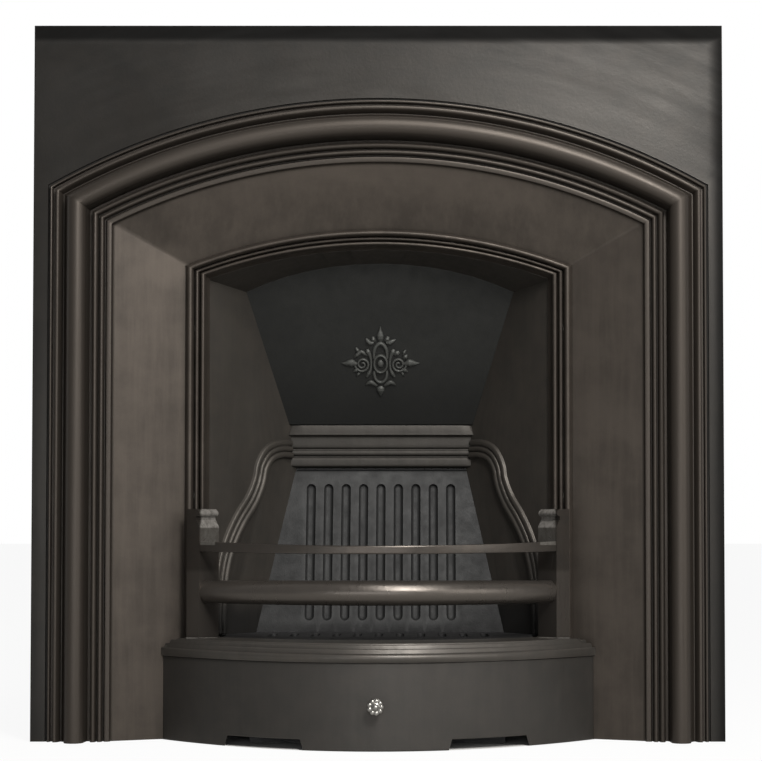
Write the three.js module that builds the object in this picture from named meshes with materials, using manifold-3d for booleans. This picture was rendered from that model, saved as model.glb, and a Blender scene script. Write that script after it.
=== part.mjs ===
// Arched cast-iron fireplace insert, in millimetres, +Z up, front facing -Y.
// While the pieces are made, y = 0 is the face of the flat plate and larger y is deeper in the chimney.
import * as THREE from 'three';
import { mergeVertices } from 'three/addons/utils/BufferGeometryUtils.js';
import Module from 'manifold-3d';

const wasm = await Module();
wasm.setup();

// ---------------------------------------------------------------- driving sizes
const GAP = 0.3;                 // running clearance between seated castings

const PLATE_WIDTH = 930;
const PLATE_HEIGHT = 965;
const PLATE_THICK = 7;
const RIM_DEPTH = 25;            // stiffening rim round the back of the plate

// Every arch is struck from one centre on the centre line, a little below the floor.
const ARCH_CENTRE_Z = -32;
const ARCH_STEPS = 20;
const MOULD_OUT = { half: 442, radius: 899 };
const MOULD_IN = { half: 352, radius: 810 };
const PANEL_IN = { half: 265, radius: 727 };
const OPENING = { half: 233, radius: 701 };
const PANEL_Y_OUT = 10;
const PANEL_Y_IN = 48;
const FRAME_BACK_Y = 66;
const WALL = 7.6;                // splayed panel, measured front to back
const TORUS_RADIUS = 18;
const TORUS_PROUD = 28;
const TORUS_AT = 39;             // distance in from the outer edge of the moulding

const CHEEK_THICK = 8;
const CHEEK_RUN = 0.6;           // inward travel for each millimetre along the cheek
const CHEEK_DEEP = 0.8;          // backward travel for each millimetre along the cheek
const CHEEK_START_HALF = 236;
const CHEEK_FLANGE_THICK = 6;
const CHEEK_FLANGE_HALF = 263;

const GRATE_TOP = 139;
const GRATE_THICK = 12;
const HOLE_R = 5.5;              // round holes behind the lip, and the ends of the slots
const HOLE_PITCH = 29;
const SLOT_FRONT_Y = 30;
const SLOT_LONG = 72;
const BACK_FOOT_Y = 148.6;
const BACK_KNEE_Z = 140;
const BACK_TOP_Y = 217;
const BACK_TOP_Z = 371;
const BACK_THICK = 10;
const BACK_LAP = 12;             // how far the fireback laps behind each cheek
const FLUTE_COUNT = 9;
const FLUTE_PITCH = 25.1;
const FLUTE_WIDTH = 11;
const FLUTE_DEPTH = 3.5;
const FLUTE_FOOT_Z = 155.4;
const FLUTE_HEAD_Z = 348.7;
const BACK_CHAMFER = 3.5;        // along the top edge of the fireback

const FLAP_FOOT_Y = 205;
const FLAP_FOOT_Z = 434;
const FLAP_CORNER_Y = 130;
const FLAP_CORNER_Z = 618;
const FLAP_THICK = 6;
const FLAP_LAP = 10;
const SOFFIT_THICK = 6;
const SOFFIT_BACK_RISE = 34;     // crown of the soffit above its rear corners
const SOFFIT_FLANGE = 22;

const LEDGE_FLANGE_Y = 222.3;
const LEDGE_FLANGE_THICK = 7;
const LEDGE_FLANGE_HALF = 160;
const LEDGE_LIP = 2.8;           // how far its back stands up behind the foot of the flap
const HINGE_ROD_R = 4;
const HINGE_ROD_HALF = 162;
const HINGE_LUG = { in: 150, out: 157 };
const KNUCKLE_R = 7.5;
const KNUCKLE = { in: 118, out: 138 };
const HINGE_UP = 3;              // hinge line above the foot of the flap, and behind its face
const HINGE_BEHIND = 13;
const BORE_CLEAR = 0.35;

const ORNAMENT_UP = 93;          // centre of the relief above the foot of the flap
const ORNAMENT_HALF_WIDTH = 57;
const ORNAMENT_HALF_HEIGHT = 55;

const RAIL_BOTTOM = 113;
const NOSING_Z = 118;
const RAIL_NOSE = { half: 294, front: -130, end: 34 };
const RAIL_SHELF = { half: 262, front: -104, end: 4 };
const RAIL_INNER = { half: 240, front: -66, end: 34 };
const RAIL_FLANGE = { half: 232, front: -54, end: 38 };
const PANEL_CLEAR = 0.5;         // cover and rail ends to the splayed panel

const COVER_FACE = { half: 294, front: -124, end: 38 };
const COVER_THICK = 6;
const COVER_TOP = RAIL_BOTTOM - 0.5;
const NOTCH_IN = 98;
const NOTCH_OUT = 196;
const NOTCH_TALL = 13.5;
const KNOB_Z = 58;
const KNOB_FACE_R = 11.5;
const KNOB_REACH = 25;
const KNOB_STEM_R = 3;

const POST_ARRIS = { half: 239.5, y: -1 };
const POST_OUTER_LEG = { wide: 18.5, deep: 16 };
const POST_INNER_LEG = { wide: 22.5, deep: 39 };
const POST_OUTER = { half: POST_ARRIS.half + POST_OUTER_LEG.wide, y: POST_ARRIS.y + POST_OUTER_LEG.deep };
const POST_INNER = { half: POST_ARRIS.half - POST_INNER_LEG.wide, y: POST_ARRIS.y + POST_INNER_LEG.deep };
const POST_THICK = 8;
const POST_TOP = 311;
const PEG_R = 5;
const PEG_LONG = 12;
const PEG_CLEAR = 0.4;
const BAR_TAIL = 5;              // how far the bars run past the arris, into the posts
const FLAT_BAR = { z: 257, tall: 11, end_z: 261, end_tall: 14, thick: 9, front: -104 };
const ROUND_BAR = { z: 202, radius: 15.5, end_radius: 13, front: -106 };

const PAN_HALF = 170;
const PAN_FRONT = -20;
const PAN_BACK = BACK_FOOT_Y - GAP;
const PAN_TALL = 68;
const PAN_WALL = 2;

const BOLT_R = 4;
const BOLT_HEAD_AF = 13;
const BOLT_HEAD_TALL = 5.5;

// ---------------------------------------------------------------- finishes
const blackLead = new THREE.MeshStandardMaterial({ color: 0x3b3936, roughness: 0.42, metalness: 0.8 });
const fireIron = new THREE.MeshStandardMaterial({ color: 0x47494b, roughness: 0.62, metalness: 0.6 });
const flapIron = new THREE.MeshStandardMaterial({ color: 0x212327, roughness: 0.5, metalness: 0.6 });
const polished = new THREE.MeshStandardMaterial({ color: 0xa9a8a4, roughness: 0.25, metalness: 1 });
const sheet = new THREE.MeshStandardMaterial({ color: 0x33353a, roughness: 0.55, metalness: 0.7 });
const boltSteel = new THREE.MeshStandardMaterial({ color: 0x55524e, roughness: 0.5, metalness: 0.9 });

// ---------------------------------------------------------------- solid helpers
function solid(geometry) {
  const bare = geometry.clone();
  bare.deleteAttribute('normal');
  bare.deleteAttribute('uv');
  const merged = mergeVertices(bare, 1e-4);
  return new wasm.Manifold(new wasm.Mesh({
    numProp: 3,
    vertProperties: new Float32Array(merged.attributes.position.array),
    triVerts: new Uint32Array(merged.index.array),
  }));
}

function geometryOf(body) {
  const mesh = body.getMesh();
  const geometry = new THREE.BufferGeometry();
  geometry.setAttribute('position', new THREE.BufferAttribute(mesh.vertProperties, 3));
  geometry.setIndex(new THREE.BufferAttribute(mesh.triVerts, 1));
  geometry.computeVertexNormals();
  return geometry;
}

function union(bodies) {
  return bodies.reduce((sum, body) => sum.add(body));
}

// Joins sections of equal point count into one closed solid, with flat ends cut to the outline.
function loft(rings, outline) {
  const count = outline.length;
  const positions = rings.flat().flatMap((p) => [p.x, p.y, p.z]);
  const faces = [];
  for (let i = 0; i + 1 < rings.length; i += 1) {
    for (let j = 0; j < count; j += 1) {
      const next = (j + 1) % count;
      const a = i * count + j;
      const b = i * count + next;
      faces.push(a, b, b + count, a, b + count, a + count);
    }
  }
  const last = (rings.length - 1) * count;
  const turn = Math.sign(THREE.ShapeUtils.area(outline));
  THREE.ShapeUtils.triangulateShape(outline, []).forEach((corners) => {
    const same = Math.sign(THREE.ShapeUtils.area(corners.map((i) => outline[i]))) === turn;
    const [a, b, c] = same ? corners : [...corners].reverse();
    faces.push(a, c, b, last + a, last + b, last + c);
  });
  const geometry = new THREE.BufferGeometry();
  geometry.setAttribute('position', new THREE.Float32BufferAttribute(positions, 3));
  geometry.setIndex(faces);
  return facingOut(geometry);
}

// Turns every face round where the enclosed volume comes out negative.
function facingOut(geometry) {
  const p = geometry.attributes.position;
  const index = geometry.index.array;
  const a = new THREE.Vector3();
  const b = new THREE.Vector3();
  const c = new THREE.Vector3();
  let volume = 0;
  for (let i = 0; i < index.length; i += 3) {
    a.fromBufferAttribute(p, index[i]);
    b.fromBufferAttribute(p, index[i + 1]);
    c.fromBufferAttribute(p, index[i + 2]);
    volume += a.dot(b.cross(c));
  }
  if (volume < 0) geometry.setIndex(Array.from(index).reverse());
  return geometry;
}

function block(x0, x1, y0, y1, z0, z1) {
  const geometry = new THREE.BoxGeometry(x1 - x0, y1 - y0, z1 - z0);
  geometry.translate((x0 + x1) / 2, (y0 + y1) / 2, (z0 + z1) / 2);
  return solid(geometry);
}

// A round or polygonal bar between two points of one axis.
function bar(axis, radius, from, to, at, sides = 16) {
  const geometry = new THREE.CylinderGeometry(radius, radius, to - from, sides);
  if (axis === 'x') geometry.rotateZ(-Math.PI / 2);
  if (axis === 'z') geometry.rotateX(Math.PI / 2);
  const middle = new THREE.Vector3(at.x ?? 0, at.y ?? 0, at.z ?? 0);
  middle[axis] = (from + to) / 2;
  geometry.translate(middle.x, middle.y, middle.z);
  return solid(geometry);
}

// A prism whose outline lies in the y-z plane and which runs along x.
function sidePrism(points, x0, x1) {
  const outline = points.map(([y, z]) => new THREE.Vector2(y, z));
  const rings = [x0, x1].map((x) => points.map(([y, z]) => new THREE.Vector3(x, y, z)));
  return solid(loft(rings, outline));
}

// A prism whose outline lies in the x-y plane and which stands along z.
function planPrism(points, z0, z1, holes = []) {
  const shape = new THREE.Shape(points.map(([x, y]) => new THREE.Vector2(x, y)));
  shape.holes.push(...holes);
  const geometry = new THREE.ExtrudeGeometry(shape, { depth: z1 - z0, bevelEnabled: false, curveSegments: 4 });
  geometry.translate(0, 0, z0);
  return solid(geometry);
}

function mirrored(body) {
  return body.mirror([1, 0, 0]);
}

// ---------------------------------------------------------------- the arch path
// Sections of an arch: up one side from the floor, over the crown, and down the other side.
function archSections(profile, steps) {
  const at = (half, radius, y, turn) => {
    const angle = Math.asin(half / radius) * turn;
    return new THREE.Vector3(radius * Math.sin(angle), y, ARCH_CENTRE_Z + radius * Math.cos(angle));
  };
  const sections = [];
  for (let i = 0; i <= steps; i += 1) {
    sections.push(profile.map(({ half, radius, y }) => at(half, radius, y, (2 * i) / steps - 1)));
  }
  const foot = (section) => section.map((p) => new THREE.Vector3(p.x, p.y, 0));
  return [foot(sections[0]), ...sections, foot(sections[steps])];
}

function archLoft(profile, steps = ARCH_STEPS) {
  return solid(loft(archSections(profile, steps), profile.map(({ half, y }) => new THREE.Vector2(half, y))));
}

// The whole space under one arch, from the floor up.
function archPrism({ half, radius }, y0, y1) {
  const rings = [y0, y1].map((y) => archSections([{ half, radius, y }], ARCH_STEPS).map(([p]) => p));
  return solid(loft(rings, rings[0].map((p) => new THREE.Vector2(p.x, p.z))));
}

// A point of a moulded band, measured in from its outer edge.
function acrossBand(outer, inner, inset, y) {
  const share = inset / (outer.half - inner.half);
  return {
    half: outer.half + (inner.half - outer.half) * share,
    radius: outer.radius + (inner.radius - outer.radius) * share,
    y,
  };
}

function torusPoints() {
  const points = [];
  for (let i = 0; i <= 8; i += 1) {
    const angle = (Math.PI * i) / 8;
    points.push([TORUS_AT - TORUS_RADIUS * Math.cos(angle),
      TORUS_RADIUS - TORUS_PROUD - TORUS_RADIUS * Math.sin(angle)]);
  }
  return points;
}

// Fillets and quirks outside the torus, and the stepped beads between it and the panel.
const OUTER_MOULDING = [
  [0, 0], [0, -4], [6.5, -4.5], [8, -1.5], [9.5, -7], [16, -8], [18, -3.5],
  ...torusPoints(),
  [58.5, -5], [60, -9], [65.5, -9], [67, -3.5], [69, -5], [74, -4.5], [75.5, 0.5],
  [77.5, -0.5], [82.5, 0], [84, 5], [86, 4], [90, 4.5], [90, PANEL_Y_OUT],
];
const INNER_MOULDING = [
  [0, PANEL_Y_IN], [2.5, 50], [4.5, 43], [8, 40.5], [12, 42], [14, 49],
  [16, 44], [20.5, 44], [22.5, 52], [25, 49], [30, 49], [32, 51],
];

function frameProfile() {
  const front = [
    ...OUTER_MOULDING.map(([inset, y]) => acrossBand(MOULD_OUT, MOULD_IN, inset, y)),
    ...INNER_MOULDING.map(([inset, y]) => acrossBand(PANEL_IN, OPENING, inset, y)),
  ];
  const torusBack = TORUS_RADIUS - TORUS_PROUD - TORUS_RADIUS / 2;
  const back = [
    acrossBand(PANEL_IN, OPENING, PANEL_IN.half - OPENING.half, FRAME_BACK_Y),
    acrossBand(PANEL_IN, OPENING, -4, FRAME_BACK_Y),
    acrossBand(PANEL_IN, OPENING, -4, PANEL_Y_IN + WALL - 1.5),
    acrossBand(MOULD_OUT, MOULD_IN, MOULD_OUT.half - MOULD_IN.half, PANEL_Y_OUT + WALL),
    acrossBand(MOULD_OUT, MOULD_IN, 62, 2),
    acrossBand(MOULD_OUT, MOULD_IN, TORUS_AT + 8, torusBack),
    acrossBand(MOULD_OUT, MOULD_IN, TORUS_AT - 8, torusBack),
    acrossBand(MOULD_OUT, MOULD_IN, 21, 2),
    acrossBand(MOULD_OUT, MOULD_IN, 6, PLATE_THICK),
    acrossBand(MOULD_OUT, MOULD_IN, 0, PLATE_THICK),
  ];
  return [...front, ...back];
}

// ---------------------------------------------------------------- bolts and their holes
// Each bolt goes in from behind, along y: its tip, the face under its head, and its place.
const cheekBoltHalf = (OPENING.half + PANEL_IN.half) / 2 + 3;
const crownBoltX = 100;
const crownBoltRadius = OPENING.radius + 14;
const crownBoltZ = ARCH_CENTRE_Z + Math.sqrt(crownBoltRadius ** 2 - crownBoltX ** 2);
const flangeBack = FRAME_BACK_Y + GAP + CHEEK_FLANGE_THICK;
const railBoltZ = (RAIL_BOTTOM + GRATE_TOP) / 2;
const railBoltX = 277;
const railBossBack = 62;
const ledgeBoltX = 139;
const ledgeBoltZ = 403;
const CHEEK_BOLT_Z = [90, 330, 560];

const bolts = [];
for (const side of [-1, 1]) {
  const hand = side < 0 ? 'left' : 'right';
  CHEEK_BOLT_Z.forEach((z, i) => bolts.push({
    name: `${hand}_cheek_bolt_${i + 1}`, x: side * cheekBoltHalf, z, tip: 55, seat: flangeBack,
  }));
  bolts.push({ name: `${hand}_soffit_bolt`, x: side * crownBoltX, z: crownBoltZ, tip: 55, seat: flangeBack });
  bolts.push({ name: `${hand}_rail_bolt`, x: side * railBoltX, z: railBoltZ, tip: 26, seat: railBossBack });
  bolts.push({
    name: `${hand}_ledge_bolt`, x: side * ledgeBoltX, z: ledgeBoltZ,
    tip: LEDGE_FLANGE_Y - 14, seat: LEDGE_FLANGE_Y + LEDGE_FLANGE_THICK,
  });
}

function boltBody({ x, z, tip, seat }) {
  const headRadius = BOLT_HEAD_AF / Math.sqrt(3);
  const shank = bar('y', BOLT_R, tip, seat + GAP + 1, { x, z }, 12);
  const washerFace = seat + GAP;
  return shank.add(bar('y', headRadius, washerFace, washerFace + BOLT_HEAD_TALL, { x, z }, 6));
}

function drilled(body) {
  return bolts.reduce((left, { x, z, tip, seat }) => (
    left.subtract(bar('y', BOLT_R + GAP, tip - 0.5, seat + 20, { x, z }, 12))), body);
}

// ---------------------------------------------------------------- chamber geometry
const cheekInner = (y) => CHEEK_START_HALF - (CHEEK_RUN / CHEEK_DEEP) * (y - FRAME_BACK_Y);
const flapLean = (FLAP_FOOT_Y - FLAP_CORNER_Y) / (FLAP_CORNER_Z - FLAP_FOOT_Z);
const flapPlaneY = (z) => FLAP_FOOT_Y - flapLean * (z - FLAP_FOOT_Z);
const backLean = (BACK_TOP_Y - BACK_FOOT_Y) / (BACK_TOP_Z - BACK_KNEE_Z);
const soffitFrontZ = ARCH_CENTRE_Z + Math.sqrt(OPENING.radius ** 2 - CHEEK_START_HALF ** 2);
const ABOVE = 720;

// Everything in front of the fireback and the flap: cheeks and soffit are cut to it.
function chamberReach(topZ) {
  const front = FRAME_BACK_Y + GAP;
  return sidePrism([
    [front, 0], [BACK_FOOT_Y - GAP, 0], [BACK_FOOT_Y - GAP, BACK_KNEE_Z],
    [BACK_TOP_Y - GAP, BACK_TOP_Z], [LEDGE_FLANGE_Y - GAP, BACK_TOP_Z + GAP],
    [LEDGE_FLANGE_Y - GAP, FLAP_FOOT_Z - GAP], [FLAP_FOOT_Y - GAP, FLAP_FOOT_Z],
    [flapPlaneY(topZ) - GAP, topZ], [front, topZ],
  ], -400, 400);
}

// Puts a shape drawn along the right cheek (s back, z up, t outward) in its place.
function onCheek(s, z, t) {
  return new THREE.Vector3(
    CHEEK_START_HALF - CHEEK_RUN * s + CHEEK_DEEP * t,
    FRAME_BACK_Y + CHEEK_DEEP * s + CHEEK_RUN * t,
    z,
  );
}

function cheekBlock(s0, s1, z0, z1, t0, t1) {
  const outline = [[s0, t0], [s1, t0], [s1, t1], [s0, t1]];
  const rings = [z0, z1].map((z) => outline.map(([s, t]) => onCheek(s, z, t)));
  return solid(loft(rings, outline.map(([s, t]) => new THREE.Vector2(s, t))));
}

// The three-reeded moulding that falls from the ledge in a slow ogee towards the bars.
const SERPENTINE = new THREE.CatmullRomCurve3([
  [176, 400], [150, 399], [127, 391], [112, 373], [106, 352], [92, 327], [68, 300],
  [49, 273], [36, 245], [28, 213], [25, 180], [24, 146],
].map(([s, z]) => new THREE.Vector3(s, z, 0)), false, 'centripetal');
const REEDS = [
  [-13, 1], [-12, -3.5], [-9.5, -5.5], [-6, -5], [-4.5, -1.5], [-3, -4.2], [-0.5, -5], [2, -4.2],
  [3.5, -1.5], [5, -3.8], [7.5, -4.4], [10, -3.4], [12, 1],
];
const SERPENTINE_STEPS = 26;

function serpentine() {
  const rings = [];
  for (let i = 0; i <= SERPENTINE_STEPS; i += 1) {
    const p = SERPENTINE.getPointAt(i / SERPENTINE_STEPS);
    const d = SERPENTINE.getTangentAt(i / SERPENTINE_STEPS);
    rings.push(REEDS.map(([across, proud]) => onCheek(p.x + across * d.y, p.y - across * d.x, proud)));
  }
  return solid(loft(rings, REEDS.map(([across, proud]) => new THREE.Vector2(across, proud))));
}

function rightCheek() {
  const front = FRAME_BACK_Y + GAP;
  const plate = cheekBlock(-2, 215, 0, FLAP_CORNER_Z + 12, 0, CHEEK_THICK);
  const flange = block(CHEEK_START_HALF + 3, CHEEK_FLANGE_HALF, front, flangeBack, 0, soffitFrontZ - 20);
  const grateTop = GRATE_TOP - GRATE_THICK - GAP;
  const grateLug = cheekBlock(78, 96, grateTop - 16, grateTop, -15, 2);
  const boltBoss = block(ledgeBoltX - 10, ledgeBoltX + 12, LEDGE_FLANGE_Y - 26, LEDGE_FLANGE_Y,
    ledgeBoltZ - 12, ledgeBoltZ + 12);
  const topCut = sidePrism([
    [0, soffitFrontZ - GAP + 7], [FLAP_CORNER_Y, FLAP_CORNER_Z - GAP], [260, FLAP_CORNER_Z - 20],
    [260, ABOVE], [0, ABOVE],
  ], 0, 400);
  const body = union([plate, flange, grateLug, serpentine(), boltBoss.subtract(chamberSideOfCheek())]);
  return drilled(body.intersect(chamberReach(ABOVE)).subtract(topCut));
}

// The space inside the right cheek, used to keep outside bosses outside.
function chamberSideOfCheek() {
  return cheekBlock(-60, 300, -5, ABOVE, -400, 1);
}

// The space between the two cheeks, kept clear of them by a small distance.
function betweenCheeks(clear, z0, z1) {
  const y0 = FRAME_BACK_Y;
  const y1 = 260;
  const slant = clear / CHEEK_DEEP;
  return planPrism([
    [-cheekInner(y0) + slant, y0], [cheekInner(y0) - slant, y0],
    [cheekInner(y1) - slant, y1], [-cheekInner(y1) + slant, y1],
  ], z0, z1);
}

// ---------------------------------------------------------------- fixed castings
function frontFrame() {
  const hole = archPrism(shrunk(MOULD_OUT, 1), -5, PLATE_THICK + 5);
  const half = PLATE_WIDTH / 2;
  const plate = block(-half, half, 0, PLATE_THICK, 0, PLATE_HEIGHT).subtract(hole);
  const rims = [
    block(-half, -half + PLATE_THICK, 0, RIM_DEPTH, 0, PLATE_HEIGHT),
    block(half - PLATE_THICK, half, 0, RIM_DEPTH, 0, PLATE_HEIGHT),
    block(-half, half, 0, RIM_DEPTH, PLATE_HEIGHT - PLATE_THICK, PLATE_HEIGHT),
  ];
  const bosses = [-1, 1].map((side) => (
    bar('y', 12, 46, railBossBack, { x: side * railBoltX, z: railBoltZ }, 16)));
  const lugs = [-1, 1].map(tieLug);
  return drilled(union([plate, ...rims, archLoft(frameProfile()), ...bosses, ...lugs]));
}

function shrunk({ half, radius }, by) {
  return { half: half - by, radius: radius - by };
}

// A pierced lug inside the rim, for the tie that holds the frame back to the wall.
function tieLug(side) {
  const out = PLATE_WIDTH / 2 - PLATE_THICK + 1;
  const z = PLATE_HEIGHT - 130;
  const tab = block(out - 30, out, RIM_DEPTH - 7, RIM_DEPTH, z - 18, z + 18)
    .subtract(bar('y', 5, RIM_DEPTH - 10, RIM_DEPTH + 3, { x: out - 17, z }, 12));
  return side > 0 ? tab : mirrored(tab);
}

function soffitPlate() {
  const steps = 12;
  const backHalf = cheekInner(FLAP_CORNER_Y);
  const backY = FLAP_CORNER_Y + 4;
  const backRadius = (backHalf ** 2 + SOFFIT_BACK_RISE ** 2) / (2 * SOFFIT_BACK_RISE);
  const rest = CHEEK_THICK / CHEEK_DEEP;
  const section = (half, radius, crown, y, lift) => {
    const under = [];
    for (let i = 0; i <= steps; i += 1) {
      const x = half * ((2 * i) / steps - 1);
      under.push(new THREE.Vector3(x, y, crown - radius + Math.sqrt(radius ** 2 - x ** 2) + lift));
    }
    const edge = under[0].z;
    return [new THREE.Vector3(-half - rest, y, edge), ...under, new THREE.Vector3(half + rest, y, edge)];
  };
  const ring = (half, radius, crown, y) => [
    ...section(half, radius, crown, y, 0), ...section(half, radius, crown, y, SOFFIT_THICK).reverse()];
  const y0 = FRAME_BACK_Y + GAP;
  const rings = [
    ring(CHEEK_START_HALF, OPENING.radius, ARCH_CENTRE_Z + OPENING.radius, y0),
    ring(backHalf, backRadius, FLAP_CORNER_Z + SOFFIT_BACK_RISE, FLAP_CORNER_Y),
    ring(cheekInner(backY), backRadius, FLAP_CORNER_Z + SOFFIT_BACK_RISE - 0.5, backY),
  ];
  const shell = solid(loft(rings, rings[0].map((p) => new THREE.Vector2(p.x, p.z))));
  const spread = { half: 225, radius: OPENING.radius };
  const flangeRing = [spread, { half: 232, radius: OPENING.radius + SOFFIT_FLANGE }];
  const flange = archLoft([
    { ...flangeRing[0], y: y0 }, { ...flangeRing[1], y: y0 },
    { ...flangeRing[1], y: flangeBack }, { ...flangeRing[0], y: flangeBack },
  ], 12).subtract(block(-400, 400, 0, 300, -10, soffitFrontZ + 6));
  return drilled(shell.add(flange).intersect(chamberReach(ABOVE)));
}

const ledgeTop = FLAP_FOOT_Z - GAP;
// The ledge as a small cornice: leaning fascia, drip, frieze and two reeds, as [proud of its back, drop] pairs.
const LEDGE_PROFILE = [
  [14.3, 0], [18.3, 1], [20.3, 12.7], [19.3, 14.7], [15.3, 15.4], [14.3, 18], [14.3, 32.7], [12.3, 34.4],
  [13.7, 36.7], [13.7, 43.2], [11.3, 45.4], [12.7, 47.7], [12.7, 56.7], [10.8, 59.7], [7.3, 60.3],
];

function firebackLedge() {
  const back = LEDGE_FLANGE_Y + LEDGE_FLANGE_THICK;
  const foot = BACK_TOP_Z + GAP;
  const face = LEDGE_PROFILE.map(([proud, drop]) => [LEDGE_FLANGE_Y - proud, ledgeTop - drop]);
  const cornice = sidePrism([...face, [LEDGE_FLANGE_Y - 4.3, foot], [back, foot], [back, ledgeTop]], -170, 170)
    .intersect(betweenCheeks(GAP, 300, 500));
  const flange = block(-LEDGE_FLANGE_HALF, LEDGE_FLANGE_HALF, LEDGE_FLANGE_Y, back, foot, ledgeTop + LEDGE_LIP);
  const lugs = [-1, 1].map((side) => {
    const lug = block(HINGE_LUG.in, HINGE_LUG.out, hingeAxis.y - KNUCKLE_R, back, ledgeTop - 6, hingeAxis.z)
      .add(bar('x', KNUCKLE_R, HINGE_LUG.in, HINGE_LUG.out, hingeAxis))
      .subtract(bar('x', HINGE_ROD_R + BORE_CLEAR / 2, HINGE_LUG.in - 10, HINGE_LUG.out + 10, hingeAxis));
    return side > 0 ? lug : mirrored(lug);
  });
  return drilled(union([cornice, flange, ...lugs]));
}

function fluteCutter(x) {
  const r = FLUTE_WIDTH / 2;
  const shape = new THREE.Shape();
  shape.absarc(x, FLUTE_HEAD_Z - r, r, 0, Math.PI);
  shape.absarc(x, FLUTE_FOOT_Z + r, r, Math.PI, 2 * Math.PI);
  const geometry = new THREE.ExtrudeGeometry(shape, { depth: 60, bevelEnabled: false, curveSegments: 5 });
  geometry.rotateX(Math.PI / 2);
  geometry.translate(0, BACK_FOOT_Y, 0);
  const lean = new THREE.Matrix4().makeShear(0, 0, 0, 0, 0, backLean);
  geometry.translate(0, 0, -BACK_KNEE_Z).applyMatrix4(lean).translate(0, FLUTE_DEPTH, BACK_KNEE_Z);
  return solid(geometry);
}

function fireback() {
  const t = BACK_THICK;
  const side = sidePrism([
    [BACK_FOOT_Y, 0], [BACK_FOOT_Y, BACK_KNEE_Z],
    [BACK_TOP_Y - backLean * BACK_CHAMFER, BACK_TOP_Z - BACK_CHAMFER], [BACK_TOP_Y + BACK_CHAMFER, BACK_TOP_Z],
    [BACK_TOP_Y + t, BACK_TOP_Z], [BACK_FOOT_Y + t, BACK_KNEE_Z - t / 3], [BACK_FOOT_Y + t, 0],
  ], -220, 220);
  const foot = cheekInner(BACK_FOOT_Y) + BACK_LAP;
  const head = cheekInner(BACK_TOP_Y) + BACK_LAP;
  const face = new THREE.Shape([
    [-foot, 0], [foot, 0], [foot, BACK_KNEE_Z], [head, BACK_TOP_Z], [-head, BACK_TOP_Z], [-foot, BACK_KNEE_Z],
  ].map(([x, z]) => new THREE.Vector2(x, z)));
  const trim = new THREE.ExtrudeGeometry(face, { depth: 200, bevelEnabled: false });
  trim.rotateX(Math.PI / 2).translate(0, 300, 0);
  let body = side.intersect(solid(trim));
  for (let i = 0; i < FLUTE_COUNT; i += 1) {
    body = body.subtract(fluteCutter((i - (FLUTE_COUNT - 1) / 2) * FLUTE_PITCH));
  }
  return body;
}

// ---------------------------------------------------------------- bowed front pieces
// A point of a bowed line: front at the middle, falling back to its end as the square of x.
function onBow({ half, front, end }, turn, z) {
  return new THREE.Vector3(half * turn, front + (end - front) * turn ** 2, z);
}

function between(a, b, share) {
  return {
    half: a.half + (b.half - a.half) * share,
    front: a.front + (b.front - a.front) * share,
    end: a.end + (b.end - a.end) * share,
  };
}

function bowLoft(section, steps) {
  const rings = [];
  for (let i = 0; i <= steps; i += 1) {
    const turn = (2 * i) / steps - 1;
    rings.push(section.map(({ bow, z, end_z = z }) => onBow(bow, turn, z + (end_z - z) * turn ** 2)));
  }
  return solid(loft(rings, section.map(({ bow, z }) => new THREE.Vector2(-bow.front, z))));
}

// The space in front of the splayed panel, where the rail and the cover end.
function beforePanel(z0, z1) {
  const lean = (PANEL_Y_IN - PANEL_Y_OUT) / (MOULD_IN.half - PANEL_IN.half);
  const reach = (half) => PANEL_Y_OUT + lean * (MOULD_IN.half - half) - PANEL_CLEAR;
  const mid = PANEL_IN.half + 3;
  return planPrism([
    [-340, -200], [340, -200], [340, reach(340)], [mid, reach(mid)], [mid - 4, 39], [OPENING.half + 2, 39],
    [OPENING.half - 6, 39], [-OPENING.half + 6, 39], [-OPENING.half - 2, 39], [-mid + 4, 39],
    [-mid, reach(mid)], [-340, reach(340)],
  ], z0, z1);
}

// The stepped face of the rail, from the shelf under the bars down to the nosing.
const RAIL_STEPS = [
  [0, GRATE_TOP], [0.14, GRATE_TOP - 0.8], [0.2, 134.5], [0.42, 133.4], [0.48, 129.5],
  [0.66, 128.2], [0.72, 124.8], [0.94, 123], [1, 121], [1, NOSING_Z], [0.93, 115.5], [0.9, RAIL_BOTTOM],
];

function frontRail() {
  const shelfBottom = GRATE_TOP - GRATE_THICK - GAP;
  const section = [
    { bow: RAIL_FLANGE, z: RAIL_BOTTOM }, { bow: RAIL_FLANGE, z: shelfBottom },
    { bow: RAIL_INNER, z: shelfBottom }, { bow: RAIL_INNER, z: GRATE_TOP },
    ...RAIL_STEPS.map(([share, z]) => ({ bow: between(RAIL_SHELF, RAIL_NOSE, share), z })),
  ];
  const pad = block(POST_INNER.half - 2, POST_OUTER.half - 1, POST_ARRIS.y + 3, 120, RAIL_BOTTOM, GRATE_TOP);
  const socket = bar('z', PEG_R + PEG_CLEAR, GRATE_TOP - PEG_LONG - 1, GRATE_TOP + 5, pegAt, 12);
  return drilled(union([bowLoft(section, 20), pad, mirrored(pad)]).intersect(beforePanel(0, 200)))
    .subtract(socket).subtract(mirrored(socket));
}

function coverSection(face, z0, z1) {
  const inner = { half: face.half - COVER_THICK, front: face.front + COVER_THICK, end: face.end + COVER_THICK };
  return [{ bow: inner, z: z0 }, { bow: inner, z: z1 }, { bow: face, z: z1 }, { bow: face, z: z0 }];
}

function ashpanCover() {
  const shell = bowLoft(coverSection(COVER_FACE, 0, COVER_TOP), 24).intersect(beforePanel(-5, 200));
  const notch = sideNotch();
  return shell.subtract(notch).subtract(mirrored(notch))
    .subtract(bar('y', KNOB_STEM_R + GAP, -160, -90, { z: KNOB_Z }, 12));
}

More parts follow.
